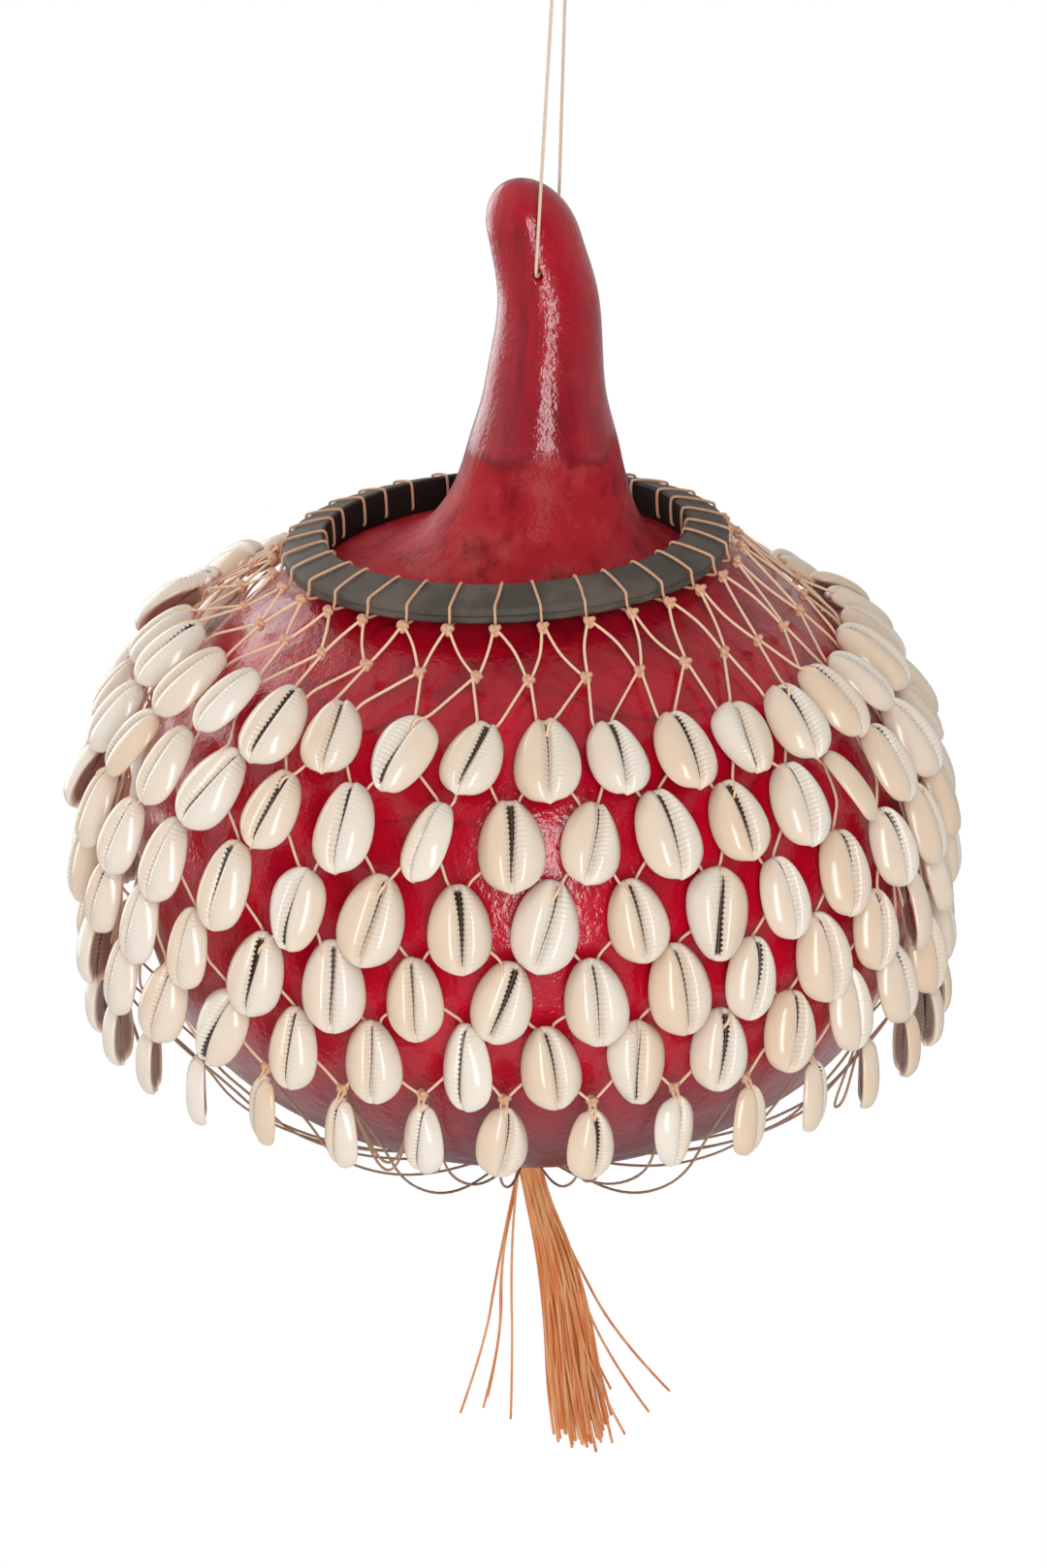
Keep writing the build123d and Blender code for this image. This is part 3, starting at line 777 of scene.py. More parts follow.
def shell_finish(settings):
    enamel = Finish("cowrie_enamel", Roughness=0.24, Coat_Weight=0.35, Coat_Roughness=0.1)
    times, plus, spread = enamel.times, enamel.plus, enamel.spread
    sideways, along = enamel.parts(enamel.add("UVMap", {"uv_map": "shell"}).outputs[0])[:2]
    across = enamel.minus(sideways, 0.5)
    names = ("tint", "mouth", "depth")
    tint, mouth, depth = [enamel.add("Attribute", {"attribute_name": n}).outputs["Fac"] for n in names]
    away = times(enamel.math("ABSOLUTE", across), SHELL_WIDTH)
    cloud = enamel.noise(enamel.place, 160.0, 3.0)
    # Two lobes: one warm, one pale, with a blush that differs from shell to shell
    warm = plus(times(spread(across, 0.12, -0.30), 0.55), times(tint, 0.45))
    warm = plus(warm, times(enamel.minus(cloud, 0.5), 0.6))
    colour = enamel.mix(enamel.math("MINIMUM", warm, 1.0), settings.ivory, settings.cream)
    # The slit is painted dark, as painted shade of its opening; it is wide by the narrow end and closes to
    # a fine line below
    tooth = enamel.math("PINGPONG", times(along, settings.teeth), 0.5)
    wide = times(spread(along, 0.12, 0.86, 0.07, 0.46, "LINEAR"), mouth)
    edge = plus(wide, times(tooth, wide, 1.5))
    ends = times(spread(along, 0.05, 0.12), spread(along, 0.99, 0.93))
    inside = times(spread(enamel.minus(away, edge), 0.14, -0.10), ends)
    # Fine ribs run from the teeth over the lobes, further on one side, painted a little darker as painted
    # shade along the ridges
    reach = spread(across, -0.03, 0.03, 1.8, 5.6)
    ribs = times(spread(tooth, 0.12, 0.4), times(spread(away, reach, 0.6), ends))
    colour = enamel.mix(times(ribs, 0.17), colour, [channel * 0.62 for channel in settings.cream])
    colour = enamel.mix(times(spread(depth, 0.45, 0.9), 0.75), colour, settings.hollow)
    enamel.feed("Base Color", enamel.mix(inside, colour, settings.slit))
    enamel.bump(times(ribs, -1.0), 0.25, 0.5)
    return enamel.material


# Cowrie shell: a small cage that a subdivision surface rounds


def slit_line(lean, share):
    """Where the slit runs, from the foot of the shell at 0 to its narrow end at 1."""
    bow = 0.7 * math.sin(math.pi * share)
    return lean * (share - 0.5) * 2.0 + bow - 0.35 * math.sin(2 * math.pi * share)


def cowrie_cage(name, lean, gap_top, gap_foot, lobe):
    """A cowrie in millimetres: grid front with a slit, rim and open back."""
    clear_selection()
    bpy.ops.mesh.primitive_grid_add(x_subdivisions=6, y_subdivisions=4, size=2)
    cage = bpy.context.object
    cage.name = name
    half_width = SHELL_WIDTH / 2
    half_length = SHELL_LENGTH / 2
    for vertex in cage.data.vertices:
        column = round((vertex.co.x + 1) * 3) - 3
        line = round((vertex.co.y + 1) * 2)
        width, along, crown = COWRIE_LINES[line]
        share = line / 4
        side = math.copysign(1.0, column)
        slit_x = slit_line(lean, share)
        reach = width * half_width
        if abs(column) == 3:
            x, z = side * reach, 0.34 * crown
        elif abs(column) == 2:
            x, z = side * reach * 0.62 + 0.4 * slit_x, 0.98 * crown * (lobe if side < 0 else 1.0)
        elif abs(column) == 1:
            x, z = slit_x + side * (gap_foot + (gap_top - gap_foot) * share), crown
        else:
            x, z = slit_x, 0.45 * crown
        curl = 0.5 * (abs(x) / half_width) ** 2 if line in (0, 4) else 0.0
        vertex.co = (x, along * half_length * (1.0 - curl), z * SHELL_HEIGHT)
    bpy.ops.object.mode_set(mode="EDIT")
    bpy.ops.mesh.select_all(action="SELECT")
    bpy.ops.mesh.region_to_loop()
    for drop, size in ((-0.28, (0.93, 0.95, 0.25)), (0.20, (0.66, 0.74, 1.0))):
        bpy.ops.mesh.extrude_region_move(TRANSFORM_OT_translate={"value": (0, 0, drop * SHELL_HEIGHT)})
        bpy.ops.transform.resize(value=size)
    bpy.ops.mesh.edge_face_add()
    close_up()
    lowest = min(vertex.co.z for vertex in cage.data.vertices)
    for vertex in cage.data.vertices:
        vertex.co.z -= lowest
    bpy.ops.object.shade_smooth()
    places = cage.data.uv_layers[0]
    places.name = "shell"
    # The points of the grid come first, then the rim's, and the last ones lie inside the open back
    front, rim = 35, 20
    depth = cage.data.attributes.new("depth", "FLOAT", "POINT")
    for index, spot in enumerate(depth.data):
        spot.value = 0.0 if index < front else 0.25 if index < front + rim else 1.0
    for loop in cage.data.loops:
        spot = cage.data.vertices[loop.vertex_index].co
        along = spot.y / SHELL_LENGTH + 0.5
        slit_x = slit_line(lean, min(1.0, max(0.0, along)))
        places.data[loop.index].uv = ((spot.x - slit_x) / SHELL_WIDTH + 0.5, along)


def place_shells(places):
    """Copies of the cages, joined into one piece; places are matrices with a number each."""
    kinds = list(COWRIE_KINDS)
    copies = []
    for matrix, number in places:
        cage = bpy.data.objects[kinds[(number * 7 + number // 3) % 3]]
        copy = cage.copy()
        copy.data = cage.data.copy()
        bpy.context.collection.objects.link(copy)
        # One in nine hangs the other way up
        copy.data.transform(matrix @ Matrix.Rotation(math.pi if number % 9 == 4 else 0.0, 4, "Z"))
        blush = 0.5 + 0.5 * math.sin(number * 2.39)
        gape = 0.75 + 0.55 * math.sin(number * 4.13 + 1.0)
        for name, value in (("tint", blush), ("mouth", max(0.25, gape))):
            for spot in copy.data.attributes.new(name, "FLOAT", "POINT").data:
                spot.value = value
        copies.append(copy)
    make_active(copies[0])
    for copy in copies:
        copy.select_set(True)
    if len(copies) > 1:
        bpy.ops.object.join()
    piece = bpy.context.view_layer.objects.active
    rounding = piece.modifiers.new("rounding", "SUBSURF")
    rounding.levels = 2
    rounding.render_levels = 2
    return piece


# Operators


class SHEKERE_OT_stage(bpy.types.Operator):
    """Sets the camera at the photograph's angle, the soft lamps and the pale floor"""

    bl_idname = "shekere.stage"
    bl_label = "Stage"

    def execute(self, context):
        settings = context.scene.shekere.stage
        scene = context.scene
        scene.view_settings.view_transform = "Standard"
        middle = row(upright(0))
        away = Vector((0, -math.cos(settings.elevation), math.sin(settings.elevation)))
        rise = Vector((0, math.sin(settings.elevation), math.cos(settings.elevation)))
        stand = middle + away * settings.distance
        aim = middle + rise * settings.rise - Vector((1, 0, 0)) * settings.left
        clear_selection()
        bpy.ops.object.camera_add(location=stand, rotation=self.look(stand, aim))
        camera = context.object
        camera.name = "view_camera"
        camera.data.lens = settings.lens
        camera.data.sensor_width = 36.0
        camera.data.clip_end = 50.0
        scene.camera = camera
        self.lamp("left_softbox", Vector((-1.0, 0.95, 0.0)), middle, 1.1, 1.3, settings.rim)
        self.lamp("key_softbox", Vector((0.10, -1.58, 0.16)), middle, 0.36, 1.55, settings.key)
        self.sky(scene, settings)
        self.floor(context)
        return {"FINISHED"}

    def look(self, stand, aim):
        return (aim - stand).to_track_quat("-Z", "Y").to_euler()

    def lamp(self, name, stand, aim, width, height, power):
        bpy.ops.object.light_add(type="AREA", location=stand)
        lamp = bpy.context.object
        lamp.name = name
        lamp.rotation_euler = self.look(stand, aim)
        lamp.data.shape = "RECTANGLE"
        lamp.data.size = width
        lamp.data.size_y = height
        lamp.data.energy = power

    def sky(self, scene, settings):
        """White to the camera; to the object, dimmer from the front and brighter from the left."""
        scene.world = bpy.data.worlds.new("studio_sky")
        scene.world.use_nodes = True
        scene.world.node_tree.nodes.clear()
        sky = Nodes(scene.world.node_tree)
        x, y = sky.parts(sky.coordinates("Generated"))[:2]
        strength = sky.spread(y, -0.9, 0.1, settings.front, settings.sky)
        strength = sky.plus(strength, sky.spread(x, -0.1, -0.7, 0.0, settings.left_wall))
        lit = sky.add("Background", Color=WHITE, Strength=strength)
        seen = sky.add("Background", Color=WHITE, Strength=1.0)
        sky.choose("OutputWorld", sky.add("LightPath").outputs["Is Camera Ray"], lit, seen)

    def floor(self, context):
        """Matte to the object, white to the camera."""
        clear_selection()
        bpy.ops.mesh.primitive_plane_add(size=FLOOR_SIZE, location=(0, 0, -FLOOR_DROP))
        floor = context.object
        floor.name = "pale_floor"
        material = bpy.data.materials.new("pale_floor")
        material.use_nodes = True
        material.node_tree.nodes.clear()
        pale = Nodes(material.node_tree)
        matte = pale.add("BsdfDiffuse", Color=(0.8, 0.8, 0.8, 1))
        white = pale.add("Emission", Color=WHITE, Strength=1.0)
        path = pale.add("LightPath").outputs
        clear = pale.math("MAXIMUM", path["Is Camera Ray"], path["Is Transmission Ray"])
        pale.choose("OutputMaterial", clear, matte, white)
        floor.data.materials.append(material)


class SHEKERE_OT_hanging_cord(bpy.types.Operator):
    """Runs the thin cord through the neck, up both sides and over its peg, tied in one knot"""

    bl_idname = "shekere.hanging_cord"
    bl_label = "Hanging cord"

    def execute(self, context):
        colours = context.scene.shekere.cord
        material = cord_finish("hanging_line", colours.line_pale, colours.line_dark, 150.0)
        front = Vector((HOLE_FRONT_X, -STRING_STANDOFF, HOLE_HEIGHT))
        back = Vector((HOLE_BACK_X, STRING_STANDOFF, HOLE_HEIGHT))
        loop_top = EQUATOR_DROP + STRING_RADIUS
        loop_front = Vector((LOOP_X - LOOP_ASIDE, -PEG_RADIUS - STRING_RADIUS, loop_top))
        loop_back = Vector((LOOP_X + LOOP_ASIDE, PEG_RADIUS + STRING_RADIUS, loop_top))
        front_way = (loop_front - front).normalized()
        back_way = (loop_back - back).normalized()
        through = (back - front).normalized()
        knot = loop_back - back_way * (PEG_RADIUS + STRING_KNOT_DROP)
        reach = STRING_KNOT_RADIUS + KNOT_GAP
        near = 12 * STRING_RADIUS
        route = [knot + back_way * reach, loop_back, loop_front, loop_front - front_way * near]
        route += [front + front_way * near, front, front + through * near]
        route += [back - through * near, back, back + back_way * near, knot - back_way * reach]
        line = cord_curve([row_route(route)], LINE_RADIUS, steps=12, sides=3)
        settle(line, "hanging_cord_line", "hanging_cord", "hanging_thread", material, "hanging_cord")
        turns = knot_route(knot, 20.0, STRING_KNOT_SIZE)
        tie = cord_mesh([turns], STRING_KNOT_TWINE, cyclic=True, steps=4, sides=2)
        settle(tie, "hanging_cord_knot", "hanging_cord", "hanging_thread", material, "hanging_knot")
        return {"FINISHED"}


class SHEKERE_OT_gourd(bpy.types.Operator):
    """Draws the gourd up ring by ring, roughens its rind and drills the hanging hole"""

    bl_idname = "shekere.gourd"
    bl_label = "Gourd"

    def execute(self, context):
        settings = context.scene.shekere.gourd
        stations = gourd_stations()
        height, radius, middle = stations[0]
        clear_selection()
        foot = row(Vector((middle, 0, height)))
        bpy.ops.mesh.primitive_circle_add(
            vertices=GOURD_SIDES, radius=radius * MM, location=foot, fill_type="NOTHING"
        )
        gourd = context.object
        bpy.ops.object.transform_apply(location=True, rotation=True, scale=True)
        bpy.ops.object.mode_set(mode="EDIT")
        bpy.ops.mesh.select_all(action="SELECT")
        bpy.ops.mesh.extrude_region_move()
        bpy.ops.mesh.merge(type="CENTER")
        bpy.ops.object.mode_set(mode="OBJECT")
        # The foot is closed, and its outer circle is drawn up from here
        for vertex in gourd.data.vertices:
            vertex.select = vertex.index < GOURD_SIDES
        for edge in gourd.data.edges:
            edge.select = all(index < GOURD_SIDES for index in edge.vertices)
        for face in gourd.data.polygons:
            face.select = False
        bpy.ops.object.mode_set(mode="EDIT")
        for low, high in zip(stations, stations[1:]):
            shift = ((high[2] - low[2]) * MM, 0, (high[0] - low[0]) * MM)
            growth = high[1] / low[1]
            bpy.ops.mesh.extrude_region_move(TRANSFORM_OT_translate={"value": shift})
            centre = row(Vector((high[2], 0, high[0])))
            bpy.ops.transform.resize(value=(growth, growth, 1.0), center_override=centre)
        bpy.ops.mesh.extrude_region_move(TRANSFORM_OT_translate={"value": (0, 0, 0.3 * MM)})
        bpy.ops.mesh.merge(type="CENTER")
        close_up()
        apply_modifier(gourd, "SUBSURF", levels=1, render_levels=1)
        self.raise_shoulder(gourd)
        lumps = bpy.data.textures.new("rind_lumps", "CLOUDS")
        lumps.noise_scale = LUMP_SIZE * MM
        lumps.noise_depth = 2
        rough = {"texture": lumps, "texture_coords": "LOCAL", "mid_level": 0.5}
        apply_modifier(gourd, "DISPLACE", strength=settings.unevenness, **rough)
        self.drill(gourd)
        make_active(gourd)
        bpy.ops.object.shade_smooth()
        settle(gourd, "gourd_rind", "gourd", "dyed_gourd", gourd_finish(settings), "gourd_shell")
        return {"FINISHED"}

    def raise_shoulder(self, gourd):
        """The shoulder stands a little higher under the collar, the same all round, so that it can turn."""
        for vertex in gourd.data.vertices:
            reach = math.hypot(vertex.co.x / MM + LOOP_X, vertex.co.y / MM)
            if vertex.co.z / MM + EQUATOR_DROP > RISE_FROM_HEIGHT and reach > RISE_FROM_RADIUS:
                vertex.co.z += bell(reach, RISE_RADIUS, RISE_WIDTH) * MM

    def drill(self, gourd):
        way = Vector((HOLE_BACK_X - HOLE_FRONT_X, 2 * STRING_STANDOFF, 0))
        clear_selection()
        bpy.ops.mesh.primitive_cylinder_add(
            vertices=24,
            radius=HOLE_RADIUS * MM,
            depth=4 * STRING_STANDOFF * MM,
            location=row(Vector(((HOLE_FRONT_X + HOLE_BACK_X) / 2, 0, HOLE_HEIGHT))),
            rotation=way.to_track_quat("Z", "Y").to_euler(),
        )
        drill = bpy.context.object
        apply_modifier(gourd, "BOOLEAN", object=drill, operation="DIFFERENCE", solver="EXACT")
        make_active(drill)
        bpy.ops.object.delete()


class SHEKERE_OT_collar(bpy.types.Operator):
    """Spins the collar's rubber section round its tilted axis and pinches it under the lashings"""

    bl_idname = "shekere.collar"
    bl_label = "Collar"

    def execute(self, context):
        settings = context.scene.shekere.collar
        inner = RING_INNER_RADIUS
        outer = RING_OUTER_RADIUS
        section = [(inner + 0.6, -1.1), (inner + 2.0, 0.0), (outer - 0.6, 0.0), (outer, 0.5)]
        section += [(outer, 1.75), (outer - 0.3, 1.95), (outer, 2.15), (outer, 3.4)]
        section += [(outer - 0.6, 4.15), (inner + 0.7, 6.85), (inner, 6.3), (inner, -0.6)]
        clear_selection()
        bpy.ops.mesh.primitive_circle_add(vertices=len(section), radius=1.0, fill_type="NOTHING")
        collar = context.object
        for vertex, (reach, height) in zip(collar.data.vertices, section):
            vertex.co = (reach * MM, 0.0, height * MM)
        bpy.ops.object.mode_set(mode="EDIT")
        bpy.ops.mesh.select_all(action="SELECT")
        bpy.ops.mesh.spin(steps=COLUMNS * 6, angle=2 * math.pi, center=(0, 0, 0), axis=(0, 0, 1))
        bpy.ops.mesh.select_all(action="SELECT")
        bpy.ops.mesh.remove_doubles(threshold=0.02 * MM)
        close_up()
        middle = inner + RING_WIDTH / 2
        for vertex in collar.data.vertices:
            azimuth = math.degrees(math.atan2(vertex.co.x, -vertex.co.y))
            radius = math.hypot(vertex.co.x, vertex.co.y) / MM
            height = vertex.co.z / MM
            off = abs((azimuth - RING_PHASE + PITCH / 2) % PITCH - PITCH / 2)
            squeeze = settings.pinch * bell(off, 0.0, PINCH_WIDTH)
            sag = BAND_SAG * math.cos(math.radians(off) * 360 / PITCH)
            radius += (middle - radius) * PINCH_ACROSS * squeeze - sag * SAG_ACROSS
            if height < 0:
                height *= WALL_DEPTH + WALL_DEPTH_BEHIND * (1.0 - math.cos(math.radians(azimuth)))
            height -= PINCH_DOWN * squeeze * height / RING_INNER_HEIGHT
            vertex.co = row(ring_point(azimuth, radius, height))
        bpy.ops.object.shade_smooth_by_angle(angle=math.radians(40))
        settle(collar, "collar_band", "collar", "collar_rubber", collar_finish(settings), "collar_ring")
        return {"FINISHED"}


class SHEKERE_OT_knots(bpy.types.Operator):
    """Ties the lashings over the collar and every small knot of the net"""

    bl_idname = "shekere.knots"
    bl_label = "Lashings and knots"

    def execute(self, context):
        colours = context.scene.shekere.cord
        material = cord_finish("net_cord", colours.net_pale, colours.net_dark, 9.0)
        loops = [self.lashing(column) for column in range(COLUMNS)]
        lashings = cord_mesh(loops, TWINE_RADIUS, cyclic=True, steps=4)
        settle(lashings, "collar_lashings", "collar", "net_cord", material, "ring_lashings")
        for name, body, node, point, azimuth, seed, turn in (
            ("collar_ties", "collar", "ring_knots", ring_knot_point, ring_azimuth, 1, 30.0),
            ("middle_ties", "net", "mid_knots", mid_point, mid_azimuth, 3, 40.0),
            ("hem_ties", "net", "hem_knots", hem_point, hem_azimuth, 2, 50.0),
        ):
            routes = [knot_route(point(k), azimuth(k) + wobble(k, seed, turn)) for k in range(COLUMNS)]
            ties = cord_mesh(routes, KNOT_TWINE_RADIUS, cyclic=True, steps=3)
            settle(ties, name, body, "net_cord", material, node)
        return {"FINISHED"}

    def lashing(self, column):
        """One turn round the band, a little aslant as it crosses the top."""
        gap = LASHING_GAP
        start = ring_azimuth(column)
        slant = wobble(column, 5, 1.2) + 0.8
        inner = RING_INNER_RADIUS - gap
        outer = RING_OUTER_RADIUS + gap
        path = [
            (start, outer + 0.9, -0.3),
            (start, outer, 1.6),
            (start, outer, RING_OUTER_HEIGHT),
            (start, outer - 1.0, RING_OUTER_HEIGHT + gap),
            (start + 0.55 * slant, outer - 5.0, RING_OUTER_HEIGHT + 1.35 + gap),
            (start + slant, inner + 1.2, RING_INNER_HEIGHT + gap - 0.4),
            (start + slant, inner, RING_INNER_HEIGHT - 0.3),
            (start + slant, inner, 1.0),
            (start + slant, inner + 0.3, -gap),
            (start + 0.5 * slant, inner + 5.0, -gap),
            (start, outer - 0.6, -gap),
        ]
        return row_route(ring_point(*spot) for spot in path)


class SHEKERE_OT_net_cords(bpy.types.Operator):
    """Draws the net's cords from knot to knot and from shell to shell"""

    bl_idname = "shekere.net_cords"
    bl_label = "Net cords"

    def execute(self, context):
        material = bpy.data.materials.get("net_cord")
        if material is None:
            raise RuntimeError("the knots come first, because they make the cord's finish")
        levels = [("upper_mesh_cords", 0, self.upper), ("shoulder_cords", -1, self.shoulder)]
        levels += [("mesh_cords_%d" % k, -((k + 1) % 2), self.between(k - 1)) for k in range(1, 5)]
        levels.append(("hem_cords", 0, self.hem))
        for node, skew, draw in levels:
            routes = []
            for column in range(COLUMNS):
                for step, side in ((0, -1), (1, 1)):
                    routes.append(row_route(draw(column + skew + step, column, side)))
            piece = cord_mesh(routes, TWINE_RADIUS, steps=4)
            stretches = node == "upper_mesh_cords"
            body = None if stretches else "net"
            settle(piece, node.replace("cords", "twine"), body, "net_cord", material, node)
            if stretches:
                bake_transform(piece)
        return {"FINISHED"}

    def bowed(self, start, end, bow, seed):
        """A stretch with the small bow of a slack cord, square to its own line."""
        middle = (start + end) / 2
        out = Vector((middle.x, middle.y, 0.0)).normalized()
        side = (end - start).cross(out).normalized()
        sway = bow * math.sin(seed)
        upper = start.lerp(end, 0.33) + side * sway
        return [upper, start.lerp(end, 0.7) + side * sway * 0.8 + out * 0.1 * bow]

    def upper(self, above, column, side):
        start = ring_knot_point(above) - tangent(ring_azimuth(above)) * side * KNOT_SIDE
        end = mid_point(column) + tangent(mid_azimuth(column)) * side * KNOT_SIDE
        return [start, *self.bowed(start, end, 1.3, above * 3.1 + side), end]

    def shoulder(self, above, column, side):
        start = mid_point(above) - tangent(mid_azimuth(above)) * side * KNOT_SIDE
        return [start, *self.into_shell(start, 0, column, side)]

    def under_shell(self, row_number, column, side):
        """The knot behind a shell, and the place where the cord comes out below it."""
        tie = shell_matrix(row_number, column)
        start = tie @ Vector((-side * TIE_SIDE, SHELL_TIE, -TIE_DEPTH))
        return [start, tie @ Vector((-side * 2.2, -1.0, -TIE_DEPTH))]

    def between(self, upper_row):
        def draw(above, column, side):
            first = self.under_shell(upper_row, above, side)
            return [*first, *self.into_shell(first[-1], upper_row + 1, column, side)]

        return draw

    def into_shell(self, start, row_number, column, side):
        """Most cords go behind the narrow end; some run over one lobe and down into the slit."""
        shell = turned_shell_matrix(row_number, column)
        size = shell_size(row_number, column)
        number = shell_number(row_number, column)
        over = number % 5 < 2 and side == (1 if number % 2 else -1)
        way = shell_spots(shell, size, side, OVER_LOBE if over else BEHIND_RIM)
        if not over:
            way.append(shell_matrix(row_number, column) @ Vector((side * TIE_SIDE, SHELL_TIE, -TIE_DEPTH)))
        return [start.lerp(way[0], 0.5), *way]

    def hem(self, above, column, side):
        first = self.under_shell(4, above, side)
        end = hem_point(column) + tangent(hem_azimuth(column)) * side * KNOT_SIDE
        return [*first, *self.bowed(first[-1], end, 0.6, column * 2.3 + side), end]


class SHEKERE_OT_shell_rows(bpy.types.Operator):
    """Copies the cowries into the five tied rows of the net"""

    bl_idname = "shekere.shell_rows"
    bl_label = "Shell rows"

    def execute(self, context):
        for kind, form in COWRIE_KINDS.items():
            cowrie_cage(kind, *form)
        material = shell_finish(context.scene.shekere.shell)
        for line in range(len(ROW_HEIGHTS)):
            places = []
            for column in range(COLUMNS):
                matrix = row_matrix(turned_shell_matrix(line, column), shell_size(line, column))
                places.append((matrix, shell_number(line, column)))
            name = "row_%d" % (line + 1)
            settle(place_shells(places), "cowrie_" + name, "net", "cowrie", material, "shell_" + name)
        return {"FINISHED"}


class SHEKERE_OT_hem_shells(bpy.types.Operator):
    """Hangs the last shells by their narrow ends, each on its own"""

    bl_idname = "shekere.hem_shells"
    bl_label = "Hem shells"

    def execute(self, context):
        material = bpy.data.materials.get("cowrie_enamel")
        if material is None:
            raise RuntimeError("the tied rows come first, because they make the shells' finish")
        twine = bpy.data.materials["net_cord"]
        for column in range(COLUMNS):
            number = "%02d" % (column + 1)
            node = "hem_shell_" + number
            piece = place_shells([(row_matrix(hem_shell_matrix(column), HEM_SCALE), column + 200)])
            settle(piece, "hem_cowrie_" + number, node, "cowrie", material, node)
            loop = cord_mesh([self.run(column, side) for side in (-1, 1)], TWINE_RADIUS, steps=4)
            settle(loop, "hem_loop_" + number, node, "net_cord", twine)
        clear_selection()
        for kind in COWRIE_KINDS:
            bpy.data.objects[kind].select_set(True)
        bpy.ops.object.delete()
        return {"FINISHED"}

    def run(self, column, side):
        """One of two runs of cord from the knot over the shell's narrow end into its slit."""
        start = hem_point(column) + tangent(hem_azimuth(column)) * side * 0.7
        return row_route([start, *shell_spots(hem_shell_matrix(column), HEM_SCALE, side, HEM_LOOP)])


class SHEKERE_OT_closing_cords(bpy.types.Operator):
    """Leads the slack closing cords under the gourd into the gathering knot"""

    bl_idname = "shekere.closing_cords"
    bl_label = "Closing cords"

    def execute(self, context):
        colours = context.scene.shekere.cord
        material = cord_finish("closing_twine", colours.slack_pale, colours.slack_dark, 40.0)
        routes = [self.closer(column) for column in range(COLUMNS)]
        routes += [self.wide_bight(column, sag) for column, sag in WIDE_BIGHTS]
        routes += [self.narrow_bight(column, sag) for column, sag in NARROW_BIGHTS]
        piece = cord_mesh(routes, CLOSER_TWINE_RADIUS, steps=6)
        settle(piece, "closing_twine", "net", "net_cord", material, "closing_cords")
        knot = self.gathering_knot()
        settle(knot, "gathering_wrap", "tassel_head", "tassel_cord", material, "gathering_knot")
        return {"FINISHED"}

    def closer(self, column):
        """From a hem knot down round the gourd's underside to the gathering knot."""
        out = outward(hem_azimuth(column))
        side = tangent(hem_azimuth(column))
        top = hem_point(column)
        reach = Vector((top.x, top.y, 0)).length
        sway = wobble(column, 10, 3.0)
        droop = CLOSER_STANDOFF + CLOSER_DROOP * max(0.0, wobble(column, 2, 1.0)) ** 2
        outer = 0.78 * GOURD_RADIUS
        inner = 0.48 * GOURD_RADIUS
        spots = [
            (reach - 0.8, top.z - 0.6, 0.0),
            (reach - 2.4, top.z - 5.0, 0.2 * sway),
            (gourd_radius(top.z - 20.0) + 5.0, top.z - 20.0, 0.5 * sway),
            (outer, gourd_foot(outer) - droop, sway),
            (inner, gourd_foot(inner) - droop, 0.6 * sway),
            (GATHER_RADIUS + 6.0, -GATHER_DROP + 1.6, 0.1 * sway),
            (GATHER_RADIUS - 1.6, -GATHER_DROP - 0.6, 0.0),
        ]
        return row_route(out * r + side * s + upright(h) for r, h, s in spots)

    def wide_bight(self, column, sag):
        """A loose bight between two neighbouring hem knots."""
        return self.bight(column, hem_point(column + 1), sag, 1.5, 0.0)

    def narrow_bight(self, column, sag):
        """A loose bight under one hem knot, close to the gourd."""
        last = hem_point(column) + tangent(hem_azimuth(column)) * 0.9
        return self.bight(column, last, sag, 6.5, 2.6)

    def bight(self, column, last, sag, inset, width):
        first = hem_point(column)
        hang = upright(-sag) + outward(hem_azimuth(column)) * -inset
        aside = tangent(hem_azimuth(column)) * width
        lows = [first.lerp(last, 0.42) + hang - aside, first.lerp(last, 0.62) + hang + aside]
        return row_route([first, first.lerp(lows[0], 0.5), *lows, last.lerp(lows[1], 0.5), last])

    def gathering_knot(self):
        """Turns of cord wound round the gathered ends."""
        route = []
        for k in range(GATHER_STEPS + 1):
            share = k / GATHER_STEPS
            angle = 2 * math.pi * GATHER_TURNS * share
            height = -GATHER_DROP + 3.0 - 6.0 * share
            radius = GATHER_RADIUS - 1.1 - 0.9 * abs(2 * share - 1) ** 2
            route.append(row(Vector((radius * math.cos(angle), radius * math.sin(angle), height))))
        return cord_mesh([route], GATHER_TWINE, steps=3, sides=2)


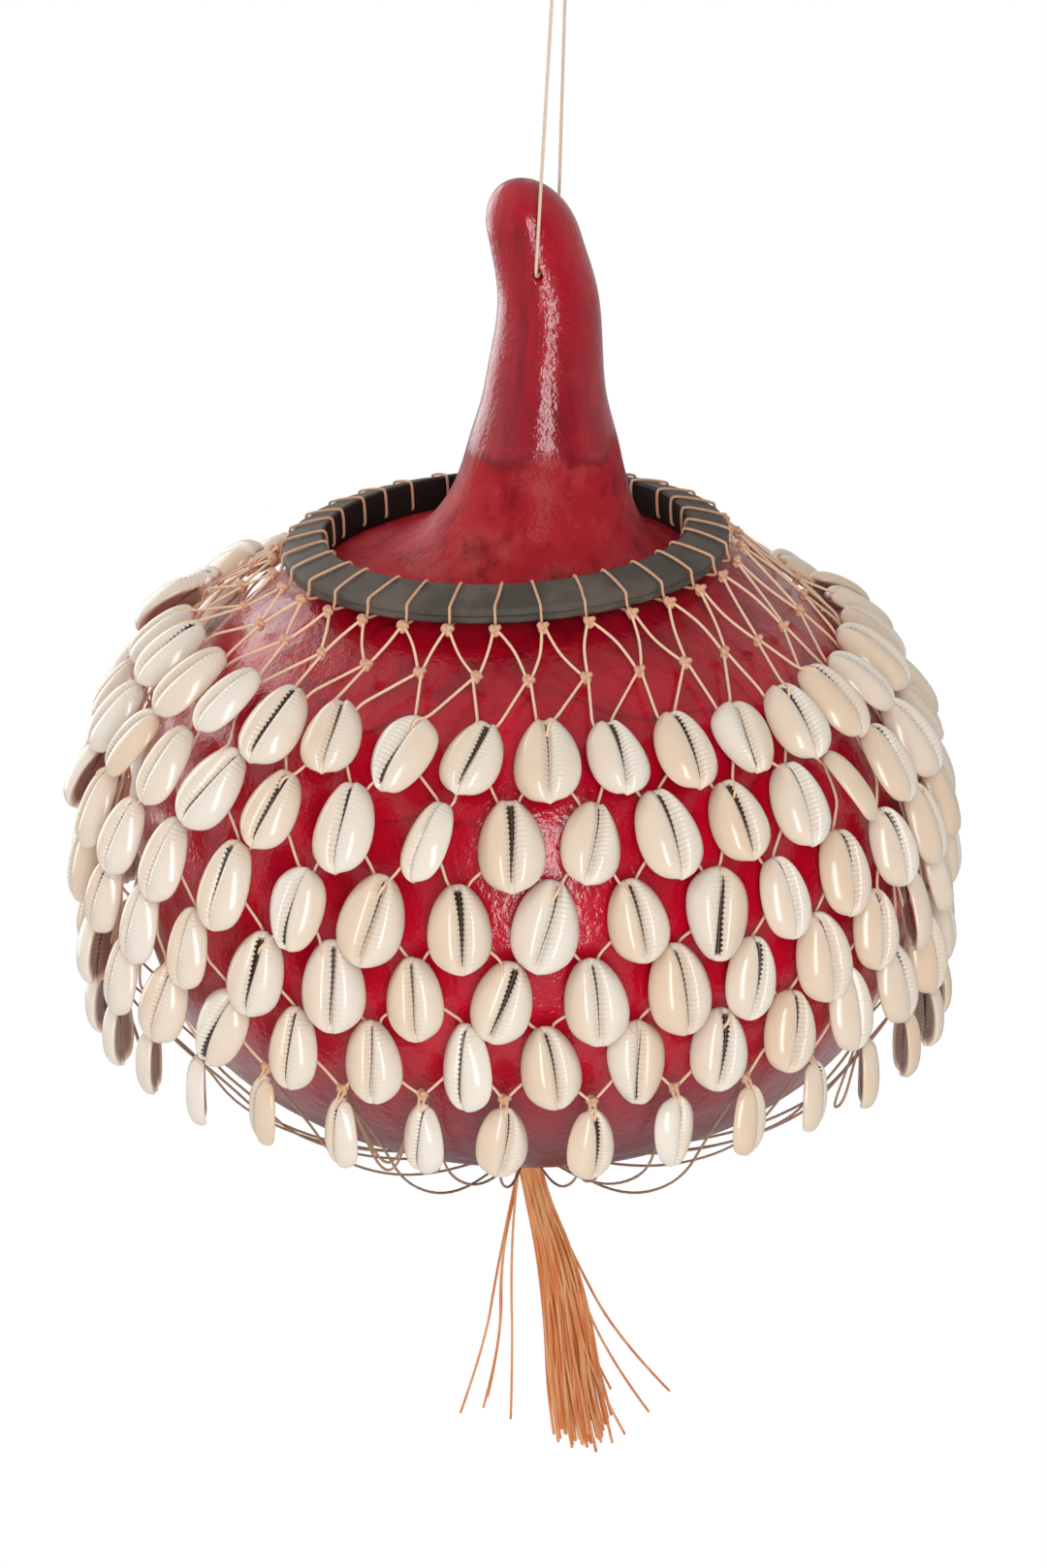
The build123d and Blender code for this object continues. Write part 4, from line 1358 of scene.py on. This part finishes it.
class SHEKERE_OT_tassel(bpy.types.Operator):
    """Hangs the tassel's cut ends and its strays from the gathering knot"""

    bl_idname = "shekere.tassel"
    bl_label = "Tassel"

    def execute(self, context):
        colours = context.scene.shekere.cord
        material = cord_finish("tassel_twine", colours.tassel_pale, colours.tassel_dark, 34.0, 0.55)
        top = -GATHER_DROP - GATHER_RADIUS + 1.0
        strands = cord_mesh([self.strand(k, top) for k in range(TASSEL_STRANDS)], STRAND_RADIUS)
        settle(strands, "tassel_strand_bundle", "tassel", "tassel_cord", material, "tassel_strands")
        for k, (azimuth, reach) in enumerate(STRAYS):
            self.stray(k, azimuth, reach, top, material)
        return {"FINISHED"}

    def strand(self, k, top):
        """One strand of the bundle, drawn together with its neighbours into five locks."""
        golden = 180.0 * (3.0 - 5.0**0.5)
        share = ((k + 0.5) / TASSEL_STRANDS) ** 0.5
        way = outward(golden * k)
        side = tangent(golden * k)
        drop = TASSEL_LENGTH * (1.0 + wobble(k, 1, 0.05)) + 0.2
        first = upright(top) + way * share * (GATHER_RADIUS - 1.4)
        lock = outward(72.0 * (k % 5) + 20.0) * 0.62 * TASSEL_SPREAD
        fan = way * share * TASSEL_SPREAD
        last = Vector((TASSEL_LEAN, 0, top - drop)) + fan.lerp(lock + fan * 0.35, 0.6)
        bend = side * wobble(k, 3, 1.4)
        bow = Vector((TASSEL_BOW, 0, 0))
        route = [
            first,
            first.lerp(last, 0.12) - way * share * 0.8,
            first.lerp(last, 0.35) + bend + bow,
            first.lerp(last, 0.62) - bend * 0.8 + way * 0.5 * share + bow * 0.7,
            first.lerp(last, 0.84) + bend * 0.6,
            last,
        ]
        return row_route(route)

    def stray(self, k, azimuth, reach, top, material):
        """One cut end that hangs apart from the bundle."""
        way = outward(azimuth)
        side = tangent(azimuth)
        drop = TASSEL_LENGTH * (0.94 + wobble(k, 2, 0.04))
        spots = [
            (GATHER_RADIUS - 2.2, 0.2, 0.0),
            (GATHER_RADIUS - 0.6, -0.12 * drop, 0.0),
            (GATHER_RADIUS + 0.2 * (reach - GATHER_RADIUS) + 1.2, -0.42 * drop, wobble(k, 4, 2.4)),
            (0.58 * reach + 1.0, -0.74 * drop, -wobble(k, 4, 1.6)),
            (reach, -drop, 0.0),
        ]
        route = [way * r + side * s + upright(top + h) for r, h, s in spots]
        stray = cord_curve([row_route(route)], STRAY_RADIUS, steps=10)
        # The first stray stands for the solids of them all
        nodes = ("stray_strands",) if k == 0 else ()
        settle(stray, "tassel_stray_%d" % (k + 1), "tassel", "tassel_cord", material, *nodes)


class SHEKERE_PT_panel(bpy.types.Panel):
    """Lists the steps and settings of the shekere"""

    bl_label = "Shekere"
    bl_idname = "SHEKERE_PT_panel"
    bl_space_type = "VIEW_3D"
    bl_region_type = "UI"
    bl_category = "Shekere"

    def draw(self, context):
        for step in STEPS:
            self.layout.operator(step.bl_idname)
        settings = context.scene.shekere
        for group in (settings.gourd, settings.collar, settings.cord, settings.shell, settings.stage):
            box = self.layout.box()
            for key in group.__annotations__:
                box.prop(group, key)


STEPS = (
    SHEKERE_OT_stage,
    SHEKERE_OT_hanging_cord,
    SHEKERE_OT_gourd,
    SHEKERE_OT_collar,
    SHEKERE_OT_knots,
    SHEKERE_OT_net_cords,
    SHEKERE_OT_shell_rows,
    SHEKERE_OT_hem_shells,
    SHEKERE_OT_closing_cords,
    SHEKERE_OT_tassel,
)
SETTINGS = (GourdSettings, CollarSettings, CordSettings, ShellSettings, StageSettings, ShekereSettings)


def register():
    for kind in SETTINGS + STEPS + (SHEKERE_PT_panel,):
        bpy.utils.register_class(kind)
    bpy.types.Scene.shekere = bpy.props.PointerProperty(type=ShekereSettings)


def unregister():
    del bpy.types.Scene.shekere
    for kind in reversed(SETTINGS + STEPS + (SHEKERE_PT_panel,)):
        bpy.utils.unregister_class(kind)


def main():
    register()
    bpy.ops.shekere.stage()
    bpy.ops.shekere.hanging_cord()
    bpy.ops.shekere.gourd()
    bpy.ops.shekere.collar()
    bpy.ops.shekere.knots()
    bpy.ops.shekere.net_cords()
    bpy.ops.shekere.shell_rows()
    bpy.ops.shekere.hem_shells()
    bpy.ops.shekere.closing_cords()
    bpy.ops.shekere.tassel()


if __name__ == "__main__":
    main()
